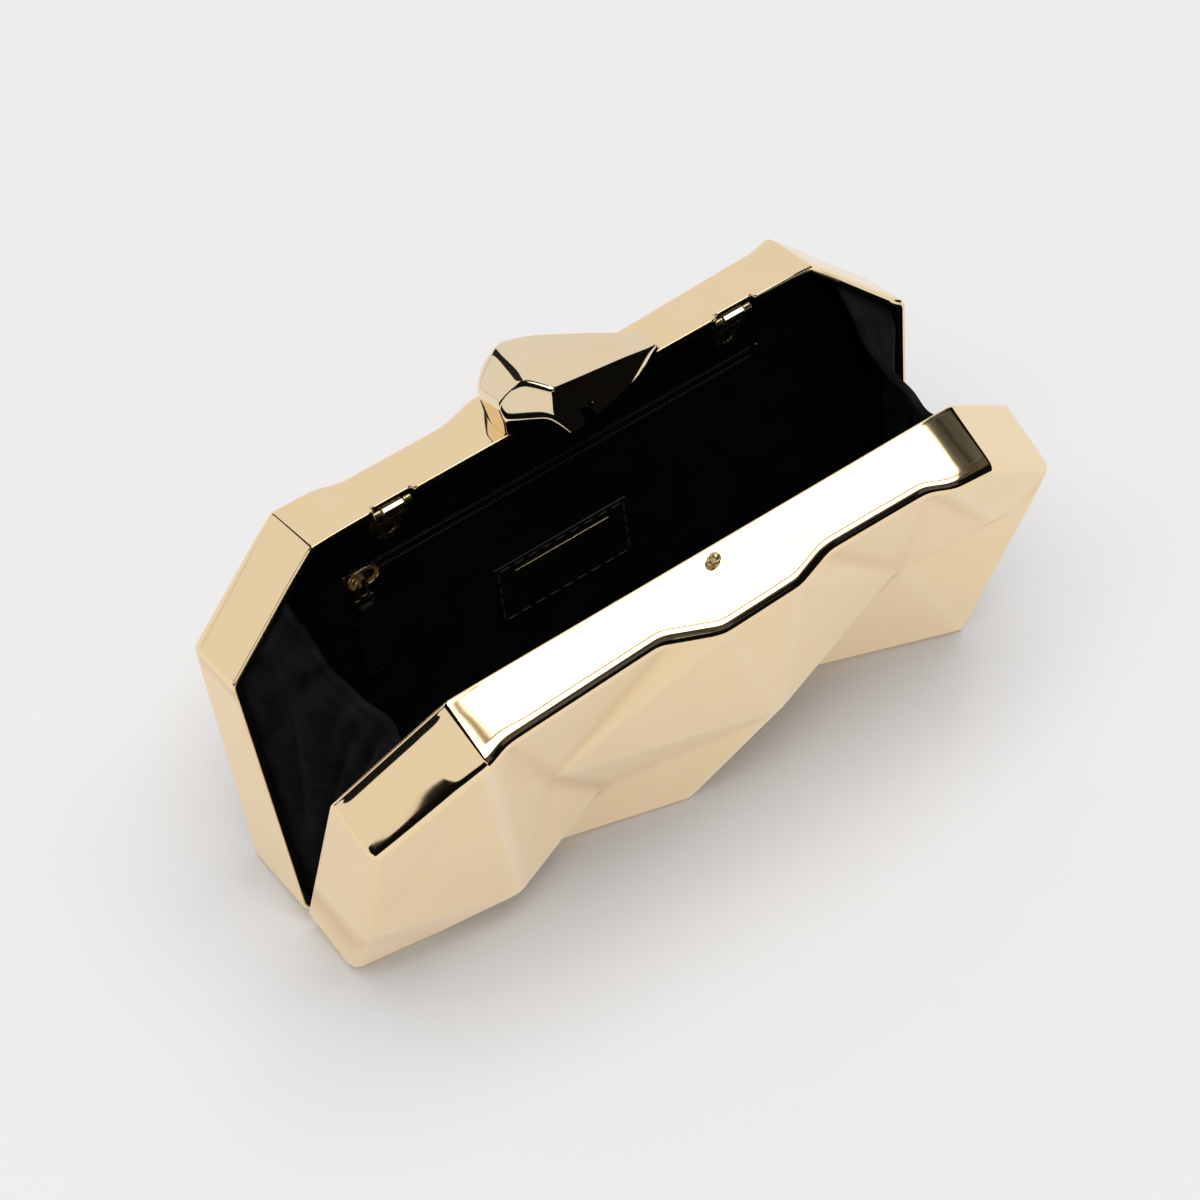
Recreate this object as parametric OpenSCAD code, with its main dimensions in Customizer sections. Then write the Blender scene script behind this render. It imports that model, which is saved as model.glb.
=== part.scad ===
// Faceted hard-shell evening clutch, standing open on its bottom edges.
// Two shells cast from one mould are hinged along the bottom. The back shell
// carries the gem-cut clasp knob, the chain loops, the zip pocket and the patch.
// Row frame: X along the clutch, Y from the front shell to the back shell, Z up.
// Shell frame: x along the clutch, v up from the hinge line in the mating plane,
// n outward from the mating plane to the face.

/* [Shells] */
// Widest width, at the level of the side corners
shell_w = 235; // [220:1:250]
// Height of a shell, from the hinge line to the top wall
shell_h = 127; // [120:1:135]
// Width of the top wall at the mating edge
top_w = 172; // [160:1:180]
// Width of the bottom wall at the mating edge
bottom_w = 222; // [205:1:230]
// Drop from the top wall to the side corners
shoulder_drop = 32; // [28:1:38]
// Thickness of the moulded wall
wall = 1.4; // [1:0.1:2]
// How far each wall leans in per millimetre of depth
draft = 0.05; // [0:0.01:0.08]
// Depth of the highest facet corners
peak_n = 32; // [30:0.5:36]
// Depth of the facet corners that the open clutch stands on
foot_n = 30; // [28:0.5:32]
// Gap between a mating edge and the mating plane
rim_gap = 0.15; // [0.1:0.05:0.3]

/* [Opening] */
// How far each shell leans from upright when open
lean = 13.95; // [10:0.05:20]

/* [Linings] */
// Thickness of the velvet-covered board
lining_t = 1; // [0.8:0.1:1.4]
// Gap between lining and shell at the mating edge
lining_gap = 0.3; // [0.2:0.1:0.5]
// Depth of the lining's flat panel, measured to its inside
panel_n = 12; // [10.5:0.5:12.5]
// Depth of the panel at its foot, where the faces dip
panel_foot_n = 7.6; // [6:0.2:8]
// Height at which the panel starts to slope to its foot
panel_bend_v = 36; // [28:1:45]
// Space under the lining's floor for the hinge leaves and rivets
floor_gap = 1.8; // [1.6:0.1:2.5]

/* [Gussets] */
// Thickness of the gathered velvet
gusset_t = 0.9; // [0.6:0.1:1.2]
// Height of the gusset's top edge on the shells
gusset_top_v = 111; // [104:1:114]
// Dip of the left gusset's top edge
left_sag = 14; // [4:1:20]
// Dip of the right gusset's top edge
right_sag = 6; // [2:1:20]
// How far the middle of the gusset folds in
gusset_tuck = 7; // [3:1:12]
// Depth of one gather
gather_depth = 1.6; // [0:0.1:2.5]
// Number of gathers across
gathers = 7; // [4:1:10]

/* [Clasp] */
// Length of the gem-cut knob
knob_l = 54; // [50:1:60]
// How far the knob reaches over the mating plane
knob_overhang = 12.4; // [11:0.2:13]
// Height of the knob
knob_h = 15.4; // [14:0.2:17]
// Edge radius of the knob
knob_edge_r = 0.8; // [0.4:0.1:1.2]
// Gap between the knob's overhang and the front shell's top wall
knob_lift = 0.45; // [0.3:0.05:0.8]
// Diameter of the ball on the front shell
ball_d = 3.3; // [2.8:0.1:4]
// Distance of the ball from the mating plane
ball_n = 4.5; // [3.5:0.1:6]
// Clearance of the ball in the knob's channel
ball_gap = 0.35; // [0.25:0.05:0.6]
// Thickness of the catch spring's strip
spring_t = 0.4; // [0.3:0.05:0.6]
// Thread diameter of the knob screws
screw_d = 2.2; // [1.8:0.1:2.6]
// Distance between the knob screws
screw_pitch = 15; // [13:0.5:16]

/* [Chain loops] */
// Distance of each loop from the end of the top wall
loop_inset = 27.5; // [21:0.5:35]
// Width of a loop tab across its ears
loop_w = 12.4; // [11:0.2:14]
// Length of the barrel between the ears
barrel_l = 7; // [6:0.2:8]
// Outer radius of the barrel and the ears
barrel_r = 1.5; // [1.3:0.05:1.7]
// Radius of the loop's pin
loop_pin_r = 0.5; // [0.4:0.05:0.6]
// Thickness of the tab
tab_t = 0.8; // [0.6:0.1:1]
// Radius of the hole for the chain's hook
chain_hole_r = 2; // [1.8:0.1:2.4]
// Radius of the round end of the tab
lobe_r = 4; // [3.6:0.1:4.6]
// Distance from the pin to the chain hole
tab_reach = 10.6; // [9.5:0.1:12]

/* [Zip pocket] */
// Length of the pocket's slot
slot_l = 146; // [130:1:150]
// Height of the zip above the hinge line
zip_v = 96.5; // [90:0.5:100]
// Height of the slot
slot_h = 9; // [8.4:0.2:10]
// Distance of the closed slider's middle from the slot's end
slider_inset = 7; // [6.5:0.5:13]
// Gap between the two rows of teeth
row_gap = 1.2; // [1:0.1:1.4]
// Pitch of the teeth
tooth_pitch = 2; // [1.8:0.1:2.4]
// Width of the leather pull
pull_w = 8; // [6:0.5:9]
// Length of the leather pull
pull_l = 25; // [16:0.5:30]
// Depth of the pocket below the zip
pocket_drop = 40; // [30:1:42]

/* [Patch] */
// Width of the leather patch
patch_w = 47; // [40:1:52]
// Height of the leather patch
patch_h = 21; // [16:1:24]
// Height of the patch's top edge
patch_top_v = 72; // [66:1:80]
// Length of the metal bar on the patch
bar_l = 33; // [28:1:36]

/* [Bottom hinges] */
// Distance of each hinge from the shell's widest place
hinge_inset = 43.5; // [38:0.5:51]
// Length of a hinge
hinge_l = 30; // [24:1:36]
// Outer radius of the knuckles
knuckle_r = 1.9; // [1.7:0.05:2.1]
// Radius of the hinge pin
hinge_pin_r = 0.8; // [0.7:0.05:0.9]
// Running clearance of a pin in its bore
running = 0.05; // [0.03:0.01:0.08]
// Thickness of the leaves
leaf_t = 0.7; // [0.6:0.05:0.8]
// Reach of the leaves over the bottom wall
leaf_n = 9; // [8:0.5:10]

/* [Hidden] */
$fn = 48;
// Pieces of one body that lie on each other
seat = 0.05;
// Past a surface that a cut goes through
over = 0.5;
// The hinge line's height, which puts the feet on the ground
hinge_z = foot_n * sin(lean) - draft * foot_n * cos(lean);
// Places along the clutch, measured from the middle
hinge_x = shell_w / 2 - hinge_inset;
loop_x = top_w / 2 - loop_inset;
slider_x = slider_inset - slot_l / 2;

gold = [0.86, 0.73, 0.5];
brass = [0.9, 0.74, 0.42];
velvet = [0.06, 0.06, 0.065];
hide = [0.08, 0.075, 0.075];
brown = [0.2, 0.12, 0.09];

// Places a child, modelled as [x, n, v], on the back or the front shell
module on_back() {
  translate([0, 0, hinge_z]) rotate([-lean, 0, 0]) children();
}
module on_front() {
  rotate([0, 0, 180]) on_back() children();
}

// The mating outline
function outline(floor_v) =
  let (slope = (shell_w - bottom_w) / 2 / (shell_h - shoulder_drop), x = bottom_w / 2 + slope * floor_v)
  [
    [-top_w / 2, shell_h],
    [top_w / 2, shell_h],
    [shell_w / 2, shell_h - shoulder_drop],
    [x, floor_v],
    [-x, floor_v],
    [-shell_w / 2, shell_h - shoulder_drop]
  ];
function unit(a) = a / norm(a);
function inward(a, b) = let (d = unit(b - a)) [d[1], -d[0]];
// A corner of a clockwise outline, moved in by w from both of its edges
function corner(pts, i, w) =
  let (
    count = len(pts),
    m1 = inward(pts[(i + count - 1) % count], pts[i]),
    m2 = inward(pts[i], pts[(i + 1) % count])
  )
  pts[i] + w * (m1 + m2) / (1 + m1 * m2);
function inset(pts, w) = [for (i = [0:len(pts) - 1]) corner(pts, i, w)];

// A six-sided block with drafted walls, from depth n0 to n1
module drafted(pts, w, n0, n1) {
  low = [for (q = inset(pts, w + draft * n0)) [q[0], n0, q[1]]];
  high = [for (q = inset(pts, w + draft * n1)) [q[0], n1, q[1]]];
  sides = [for (i = [0:5]) each [[6 + (i + 1) % 6, (i + 1) % 6, i], [6 + i, 6 + (i + 1) % 6, i]]];
  polyhedron(points = concat(low, high), faces = concat([[0, 1, 2, 3, 4, 5], [11, 10, 9, 8, 7, 6]], sides));
}

// The faceted form of a shell. The corners of its face are named by where they lie.
// w moves the walls in and d lowers the face, which gives the cavity.
module faceted_form(w, d, n0) {
  pts = outline(0);
  end_slope = (shell_w - bottom_w) / 2 / (shell_h - shoulder_drop);
  // The corners below are laid out on a shell 235 wide and 127 high, with peaks 32 deep
  wide = shell_w / 235;
  tall = shell_h / 127;
  deep = peak_n / 32;
  // A corner of the face above a corner of the outline, on an edge, or on an end wall
  function at(i, n) = let (q = corner(pts, i, w + draft * (n - d))) [q[0], n - d, q[1]];
  function top(x, n) = [wide * x, n - d, shell_h - w - draft * (n - d)];
  function low(x, n) = [wide * x, n - d, w + draft * (n - d)];
  function end(side, v, n) =
    let (tall_v = tall * v)
    [side * (bottom_w / 2 + end_slope * tall_v - (w + draft * (n - d)) * norm([1, end_slope])), n - d, tall_v];
  function inner(x, v, n) = [wide * x, n - d, tall * v];
  rim = [for (i = [0:5]) let (q = corner(pts, i, w + draft * n0)) [q[0], n0, q[1]]];
  edge = [
    at(0, 21.5 * deep), top(-78.5, 19.2 * deep), top(-25, 17.2 * deep), top(-8.5, 23.3 * deep),
    top(17.5, 22.5 * deep), top(29.5, 18.6 * deep), top(64, 18.8 * deep), top(71.5, 21.8 * deep),
    at(1, 22.5 * deep), at(2, 23 * deep), end(1, 82.5, 24.4 * deep), at(3, foot_n), low(50, 11.5 * deep),
    low(4, foot_n), low(-50, 17 * deep), low(-84, 24.6 * deep), at(4, 21.4 * deep),
    end(-1, 37, 23.5 * deep), at(5, 20 * deep)
  ];
  mid = [
    inner(-62, 22, peak_n), inner(24, 50.5, peak_n), inner(-53, 72, 19.7 * deep), inner(-26, 32, 20 * deep),
    inner(70, 72, 19.6 * deep), inner(104, 72, 24 * deep)
  ];
  face = [
    [24, 6, 23], [6, 25, 23], [6, 7, 27], [6, 27, 25], [7, 8, 27], [27, 8, 9], [27, 9, 26],
    [27, 26, 28], [27, 28, 25], [25, 28, 20], [25, 21, 20], [23, 25, 21], [23, 21, 22],
    [9, 10, 26], [10, 11, 29], [10, 29, 26], [11, 12, 29], [12, 13, 30], [12, 30, 29],
    [13, 14, 30], [14, 15, 30], [15, 16, 30], [29, 30, 16], [29, 16, 17], [29, 17, 18],
    [29, 18, 26], [26, 18, 19], [28, 26, 19], [28, 20, 19]
  ];
  // The top and bottom walls are hollow in outline, so they are given in convex shares
  walls = [
    [1, 14, 13, 12, 11], [9, 8, 1, 11, 10], [0, 1, 8], [0, 8, 7, 6],
    [1, 2, 15, 14], [2, 3, 17, 16, 15],
    [4, 22, 21, 20, 19, 18], [18, 17, 3, 4],
    [4, 5, 24, 23, 22], [5, 0, 6, 24], [5, 4, 3, 2, 1, 0]
  ];
  all = concat(rim, edge, mid);
  // Turns a triangle of the face so that its outside is the far side from the rim
  function turned(t) =
    let (a = all[t[0]], b = all[t[1]], c = all[t[2]],
      area = (b[0] - a[0]) * (c[2] - a[2]) - (c[0] - a[0]) * (b[2] - a[2]))
    area > 0 ? [t[2], t[1], t[0]] : t;
  // x is counted from left to right as the face is seen from outside
  polyhedron(points = [for (q = all) [-q[0], q[1], q[2]]], faces = concat([for (t = face) turned(t)], walls));
}

// One moulding: the faceted form, hollowed, with room for the knuckles at the bottom edge
module shell() {
  difference() {
    faceted_form(0, 0, rim_gap);
    faceted_form(wall, wall * 1.12, -over);
    for (side = [-1, 1])
      translate([side * hinge_x - hinge_l / 2 - 0.3, 0, 0]) rotate([0, 90, 0])
        cylinder(r = knuckle_r + 0.3, h = hinge_l + 0.6);
    hinge_rivet_places() rivet_hole();
  }
}

// Rivets that hold the leaves and the loop brackets. They stand in blind holes, so that
// nothing shows outside. A place lies on the wall's inside with its axis into the wall.
rivet_r = 0.8;
rivet_head_r = 1.5;
rivet_head_h = 0.5;
rivet_bite = 0.8;
module rivet(plate) {
  head = plate + 2 * seat;
  translate([0, 0, -head - rivet_head_h]) cylinder(r = rivet_head_r, h = rivet_head_h);
  translate([0, 0, -head - rivet_head_h / 2]) cylinder(r = rivet_r, h = head + rivet_head_h / 2 + rivet_bite);
}
module rivet_hole() {
  translate([0, 0, -over]) cylinder(r = rivet_r + running, h = over + rivet_bite + 0.1);
}

module back_shell() color(gold) on_back() difference() {
  shell();
  for (side = [-1, 1]) {
    // The mating edge steps back where a chain tab folds out
    translate([side * loop_x - loop_w / 2 - 0.6, -over, shell_h - 2 * wall])
      cube([loop_w + 1.2, over + notch_n, 4 * wall]);
    bracket_rivet_place(side) rivet_hole();
  }
  screw_places() cylinder(d = screw_d + 0.2, h = 4 * wall, center = true);
}
module front_shell() color(gold) on_front() difference() {
  shell();
  translate([0, ball_n, shell_h]) cylinder(r = stud_r + running, h = 4 * wall, center = true);
}

// The velvet-covered tray inside a shell
lining_inset = wall + lining_gap;
module under_panel(depth, foot) {
  rotate([90, 0, 90]) linear_extrude(height = 2 * shell_w, center = true)
    polygon([
      [-over, -over], [foot, -over], [foot, 3 * floor_gap], [depth, panel_bend_v],
      [depth, 2 * shell_h], [-over, 2 * shell_h]
    ]);
}
module lining() {
  rim_n = 0.4;
  floor_v = floor_gap;
  difference() {
    intersection() {
      drafted(outline(floor_v), lining_inset, rim_n, panel_n + lining_t);
      under_panel(panel_n + lining_t, panel_foot_n + lining_t);
    }
    intersection() {
      drafted(outline(floor_v), lining_inset + lining_t, -over, panel_n + 0.01);
      under_panel(panel_n, panel_foot_n);
    }
  }
}
module back_lining() color(velvet) on_back() difference() {
  lining();
  // The pocket's slot
  translate([0, panel_n, zip_v]) rotate([90, 0, 0])
    linear_extrude(height = 4 * lining_t, center = true) square([slot_l, slot_h], center = true);
  // Room for the loop brackets and the fold-out tabs
  for (side = [-1, 1])
    translate([side * loop_x - loop_w / 2 - 0.6, -over, shell_h - 6])
      cube([loop_w + 1.2, over + bracket_n + 0.4, 12]);
}
module front_lining() color(velvet) on_front() difference() {
  lining();
  translate([0, ball_n, shell_h]) cylinder(r = nut_r + 0.4, h = 12, center = true);
}

// The gathered sheet that closes one end. Its two edges lie on the linings' end walls.
gusset_rows = 18;
gusset_cols = 28;
gusset_seat = 0.3;
gusset_foot_v = 7;
gusset_edge_n = 3;
// How far from the middle the sheet's edge lies, inside the end wall and the shoulder
function edge_x(v, reach) =
  let (
    shoulder_v = shell_h - shoulder_drop,
    side_x = bottom_w / 2 + (shell_w - bottom_w) / 2 * v / shoulder_v,
    slant = (shell_w - top_w) / 2 / shoulder_drop,
    shoulder_x = shell_w / 2 - (v - shoulder_v) * slant
  )
  min(side_x - reach, shoulder_x - reach * sqrt(1 + slant * slant));
// Point of the sheet: a runs 0 to 1 up the end, b runs -1 to 1 from front to back
function gusset_point(a, b, sag, off) =
  let (
    v = gusset_foot_v + a * (gusset_top_v - gusset_foot_v),
    reach = lining_inset + lining_t + gusset_seat + draft * gusset_edge_n + gusset_t,
    x = edge_x(v, reach),
    hang = 1 - b * b,
    tuck = gusset_tuck * hang * (0.25 + 0.75 * a),
    loose = min(1, max(0, 4 * hang - 0.9)),
    fold = gather_depth * a * (0.5 + 0.5 * sin(360 * gathers * (b + 1) / 2)) * loose,
    y = b * (v * sin(lean) + gusset_edge_n * cos(lean)),
    z = v * cos(lean) - gusset_edge_n * sin(lean) + hinge_z - sag * pow(a, 3) * hang
  )
  [x - tuck - fold + off, y, z];
module gusset(side, sag) {
  cols = gusset_cols;
  rows = gusset_rows;
  skins = [for (off = [0, gusset_t]) for (r = [0:rows]) for (c = [0:cols])
    let (q = gusset_point(r / rows, 2 * c / cols - 1, sag, off)) [side * q[0], q[1], q[2]]];
  function id(s, r, c) = s * (rows + 1) * (cols + 1) + r * (cols + 1) + c;
  function quad(a, b, c, d) = side > 0 ? [[a, b, c], [a, c, d]] : [[c, b, a], [d, c, a]];
  inside = [for (r = [0:rows - 1]) for (c = [0:cols - 1])
    each quad(id(0, r, c), id(0, r, c + 1), id(0, r + 1, c + 1), id(0, r + 1, c))];
  outside = [for (r = [0:rows - 1]) for (c = [0:cols - 1])
    each quad(id(1, r, c), id(1, r + 1, c), id(1, r + 1, c + 1), id(1, r, c + 1))];
  ends = [for (c = [0:cols - 1]) each concat(
    quad(id(0, 0, c), id(1, 0, c), id(1, 0, c + 1), id(0, 0, c + 1)),
    quad(id(0, rows, c), id(0, rows, c + 1), id(1, rows, c + 1), id(1, rows, c)))];
  edges = [for (r = [0:rows - 1]) each concat(
    quad(id(0, r, 0), id(0, r + 1, 0), id(1, r + 1, 0), id(1, r, 0)),
    quad(id(0, r, cols), id(1, r, cols), id(1, r + 1, cols), id(0, r + 1, cols)))];
  polyhedron(points = skins, faces = concat(inside, outside, ends, edges));
}
module left_gusset() color(velvet) gusset(-1, left_sag);
module right_gusset() color(velvet) gusset(1, right_sag);

// The gem-cut knob. Corners are [x, n, height above the top wall].
function knob_corner(x, n, h) = [x * knob_l / 54, n < 0 ? n * knob_overhang / 12.4 : n, h * knob_h / 15.4];
knob_foot = -1.4;
knob_base = [
  // Around the foot, from the left end along the back to the tip and the front
  knob_corner(-20.8, 1.2, knob_foot), knob_corner(-21.1, 4, knob_foot), knob_corner(-20, 11.5, knob_foot),
  knob_corner(-18.3, 15.6, knob_foot), knob_corner(-13.5, 19.6, knob_foot), knob_corner(-6, 20.8, knob_foot),
  knob_corner(2, 18, knob_foot), knob_corner(20, 11.4, knob_foot), knob_corner(32, 7.4, knob_foot),
  knob_corner(33.2, 1.2, knob_foot), knob_corner(26, -2.7, knob_lift), knob_corner(11, -9.2, knob_lift),
  knob_corner(1.8, -11.2, knob_lift), knob_corner(-6.3, -12.4, knob_lift)
];
knob_crown = [
  // The flat table on the front left
  knob_corner(-21, 0.2, 5.3), knob_corner(-11.3, -8, 7), knob_corner(-8.9, -6.2, 12.5),
  knob_corner(-12.9, 0.2, 15.2), knob_corner(-17.1, 1.8, 13.1), knob_corner(-19.7, 2.3, 10.4),
  knob_corner(-20.7, 2, 8.7),
  // The left end and the back
  knob_corner(-17, 4.4, 12.6), knob_corner(-20.1, 14.6, 8), knob_corner(-15, 19.2, 9.9),
  knob_corner(-11, 19.8, 12.6), knob_corner(-10.5, 17.5, 14), knob_corner(-6.5, 21, 13.4),
  // The crown, which falls to the tip on the right
  knob_corner(-5.4, -6.3, 12.6), knob_corner(-6, 6.3, 15.4), knob_corner(0.8, 16.8, 14),
  knob_corner(9.6, 14.3, 11), knob_corner(14, 2.5, 9.2), knob_corner(20, 10.4, 7.9),
  knob_corner(31.5, 7, 3), knob_corner(31.2, -0.2, 3)
];
module knob_body() {
  middle = [-3, 6, knob_h / 2];
  hull() {
    for (q = knob_base) let (m = unit([q[0] - middle[0], q[1] - middle[1]]) * knob_edge_r)
      translate([q[0] - m[0], q[1] - m[1], shell_h + q[2] + knob_edge_r]) sphere(r = knob_edge_r, $fn = 12);
    for (q = knob_crown) let (c = q - unit(q - middle) * 1.2 * knob_edge_r)
      translate([c[0], c[1], shell_h + c[2]]) sphere(r = knob_edge_r, $fn = 12);
  }
}
// The channel that the ball enters from the mating side
channel_w = ball_d + 2 * ball_gap;
channel_n = ball_n + ball_d / 2 + ball_gap;
ball_h = 2.4;
spring_w = 3;
spring_l = 9;
module clasp_knob() color(gold) on_back() difference() {
  knob_body();
  // Over the back shell the knob is cut to the leaning top wall
  translate([0, 0, shell_h + seat]) rotate([-atan(draft), 0, 0]) translate([-knob_l, -over, -10])
    cube([2 * knob_l, 40, 10]);
  // Over the front shell it stays clear of the closed top wall
  translate([-knob_l, -2 * knob_overhang, shell_h - 10]) cube([2 * knob_l, 2 * knob_overhang, 10 + knob_lift]);
  translate([-channel_w / 2, -knob_overhang - over, shell_h - over])
    cube([channel_w, knob_overhang + over - ball_n + channel_w / 2, over + ball_h + channel_w / 2]);
  // The pocket for the catch spring
  translate([-ball_d / 2 - spring_room, -ball_n - spring_l / 2, shell_h - over])
    cube([ball_d + 2 * spring_room, spring_l, over + ball_h + spring_w / 2 + 0.6]);
  screw_places() cylinder(d = screw_d, h = 2 * screw_bite, center = true);
}
spring_room = 1.2;
// A strip bent to a U, whose lips stand on both sides of the closed ball
module catch_spring() color(brass) on_back() {
  half = ball_d / 2 + spring_room - 0.1;
  lip = ball_d / 2 + 0.08;
  floor_h = shell_h + knob_lift + 0.4;
  end = spring_l / 2 - 0.2;
  arm = [
    [half, end], [half, 1.8], [lip + spring_t, 0.3], [lip + spring_t, -0.3], [half, -1.8], [half, -end],
    [half - spring_t, -end], [half - spring_t, -2], [lip, -0.4], [lip, 0.4], [half - spring_t, 2],
    [half - spring_t, end - spring_t]
  ];
  back = [for (i = [len(arm) - 1 : -1 : 0]) [-arm[i][0], arm[i][1]]];
  translate([0, -ball_n, floor_h]) linear_extrude(height = spring_w) polygon(concat(arm, back));
}

// Screws from inside the back shell into the knob
screw_n = 16.5;
screw_bite = 6;
module screw_places() {
  for (x = [-screw_pitch / 2 - 2, screw_pitch / 2 - 2])
    translate([x, screw_n, shell_h - draft * screw_n]) rotate([-atan(draft), 0, 0]) children();
}
module knob_screws() color(brass) on_back() screw_places() {
  translate([0, 0, -wall - 0.5]) cylinder(d = screw_d - 2 * running, h = wall + screw_bite - 0.5);
  translate([0, 0, -wall - 1 - seat]) difference() {
    cylinder(d = 1.9 * screw_d, h = 1);
    translate([-1.2 * screw_d, -0.25, -over]) cube([2.4 * screw_d, 0.5, over + 0.4]);
  }
}

// The ball on the front shell, with the nut that holds it from inside
stud_r = 1.1;
nut_r = 2.2;
module ball_stud() color(brass) on_front() translate([0, ball_n, shell_h]) {
  translate([0, 0, ball_h - draft * ball_n]) sphere(d = ball_d);
  cylinder(r = 0.8, h = ball_h);
  translate([0, 0, -0.1]) cylinder(r1 = 1.95, r2 = 1.5, h = 0.5);
  translate([0, 0, -wall - 1.3]) cylinder(r = stud_r, h = wall + 1.4);
}
module ball_stud_nut() color(brass) on_front()
  translate([0, ball_n, shell_h - wall - draft * ball_n - 1.25]) difference() {
    cylinder(r = nut_r, h = 1.1, $fn = 6);
    translate([0, 0, -over]) cylinder(r = stud_r + 0.02, h = 3);
  }

// The chain loops at the back shell's mating edge
notch_n = 1.5;
plate_n = notch_n + 0.7;
pin_n = barrel_r + 1.2;
bracket_t = 0.7;
bracket_n = 8;
pin_v = shell_h - wall - draft * bracket_n - bracket_t - barrel_r - 0.1;
module bracket_rivet_place(side) {
  for (dx = [-4, 4])
    translate([side * loop_x + dx, bracket_n - 2, shell_h - wall - draft * bracket_n]) children();
}
module loop_bracket(side) color(brass) on_back() {
  plate_v = shell_h - wall - draft * bracket_n - seat;
  difference() {
    union() {
      translate([side * loop_x - loop_w / 2, plate_n, plate_v - bracket_t])
        cube([loop_w, bracket_n - plate_n, bracket_t]);
      translate([side * loop_x - barrel_l / 2, pin_n, pin_v]) rotate([0, 90, 0]) cylinder(r = barrel_r, h = barrel_l);
      // The strip rolls down into the barrel
      translate([side * loop_x - barrel_l / 2, pin_n, pin_v]) cube([barrel_l, barrel_r, plate_v - pin_v - bracket_t / 2]);
    }
    translate([side * loop_x - loop_w, pin_n, pin_v]) rotate([0, 90, 0])
      cylinder(r = loop_pin_r, h = 2 * loop_w);
    bracket_rivet_place(side) cylinder(r = rivet_r + running, h = 8 * wall, center = true);
  }
}
module loop_pin(side) color(brass) on_back()
  translate([side * loop_x - loop_w / 2 - 0.3, pin_n, pin_v]) rotate([0, 90, 0])
    cylinder(r = loop_pin_r, h = loop_w + 0.6);
module loop_rivets() color(brass) on_back() for (side = [-1, 1]) bracket_rivet_place(side) rivet(bracket_t);

// A chain tab hangs straight down from its pin. It is modelled as [x, out, down].
module loop_tab(side) color(brass) {
  y = pin_v * sin(lean) + pin_n * cos(lean);
  z = pin_v * cos(lean) - pin_n * sin(lean) + hinge_z;
  ear_l = (loop_w - barrel_l) / 2 - 0.2;
  plate_y = barrel_r - tab_t;
  translate([side * loop_x, y, z]) difference() {
    union() {
      for (flip = [0, 1]) mirror([flip, 0, 0])
        translate([barrel_l / 2 + 0.2, 0, 0]) {
          rotate([0, 90, 0]) cylinder(r = barrel_r, h = ear_l);
          translate([0, plate_y, -7]) cube([ear_l, tab_t, 7]);
        }
      translate([0, plate_y + tab_t, 0]) rotate([90, 0, 0]) linear_extrude(height = tab_t) {
        translate([-loop_w / 2, -8.2]) square([loop_w, 2]);
        translate([-lobe_r, -tab_reach]) square([2 * lobe_r, tab_reach - 7]);
        translate([0, -tab_reach]) circle(r = lobe_r);
      }
    }
    rotate([0, 90, 0]) cylinder(r = loop_pin_r + running, h = 2 * loop_w, center = true);
    translate([0, 0, -tab_reach]) rotate([90, 0, 0]) cylinder(r = chain_hole_r, h = 10, center = true);
  }
}
module left_loop_bracket() loop_bracket(-1);
module right_loop_bracket() loop_bracket(1);
module left_loop_pin() loop_pin(-1);
module right_loop_pin() loop_pin(1);
module left_loop_tab() loop_tab(-1);
module right_loop_tab() loop_tab(1);

// The two barrel hinges on the bottom walls
knuckle_gap = 0.2;
knuckle_l = hinge_l / 3;
// The leaf lies on the bottom wall. Tongues go over the wall's edge to its knuckles.
leaf_v = wall + draft * leaf_n + seat;
module leaf(spans) {
  difference() {
    union() {
      for (s = spans) translate([s[0], 0, 0]) {
        rotate([0, 90, 0]) cylinder(r = knuckle_r, h = s[1]);
        rotate([90, 0, 90]) linear_extrude(height = s[1])
          polygon([[0.3, 1], [1.4, 1], [1.4, leaf_v], [3, leaf_v], [3, leaf_v + leaf_t], [0.3, leaf_v + leaf_t]]);
      }
      translate([-hinge_l / 2, 2.5, leaf_v]) cube([hinge_l, leaf_n - 2.5, leaf_t]);
    }
    rotate([0, 90, 0]) cylinder(r = hinge_pin_r + running, h = 2 * hinge_l, center = true);
    for (dx = [-hinge_l / 3, hinge_l / 3]) translate([dx, leaf_n - 3, 0])
      cylinder(r = rivet_r + running, h = 8 * wall);
  }
}
module hinge_rivet_places() {
  for (side = [-1, 1]) for (dx = [-hinge_l / 3, hinge_l / 3])
    translate([side * hinge_x + dx, leaf_n - 3, wall + draft * leaf_n]) rotate([180, 0, 0]) children();
}
outer_spans = [
  [-hinge_l / 2, knuckle_l - knuckle_gap / 2], [hinge_l / 6 + knuckle_gap / 2, knuckle_l - knuckle_gap / 2]
];
inner_span = [[-hinge_l / 6 + knuckle_gap / 2, knuckle_l - knuckle_gap]];
module hinge_back_leaf(side) color(brass) on_back() translate([side * hinge_x, 0, 0]) leaf(outer_spans);
module hinge_front_leaf(side) color(brass) on_front() translate([-side * hinge_x, 0, 0]) leaf(inner_span);
module hinge_pin(side) color(brass) on_back() translate([side * hinge_x, 0, 0])
  rotate([0, 90, 0]) cylinder(r = hinge_pin_r, h = hinge_l, center = true);
module hinge_rivets() hinge_rivet_places() rivet(leaf_t);
module left_hinge_back_leaf() hinge_back_leaf(-1);
module right_hinge_back_leaf() hinge_back_leaf(1);
module left_hinge_front_leaf() hinge_front_leaf(-1);
module right_hinge_front_leaf() hinge_front_leaf(1);
module left_hinge_pin() hinge_pin(-1);
module right_hinge_pin() hinge_pin(1);
module hinge_back_rivets() color(brass) on_back() hinge_rivets();
module hinge_front_rivets() color(brass) on_front() hinge_rivets();

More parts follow.
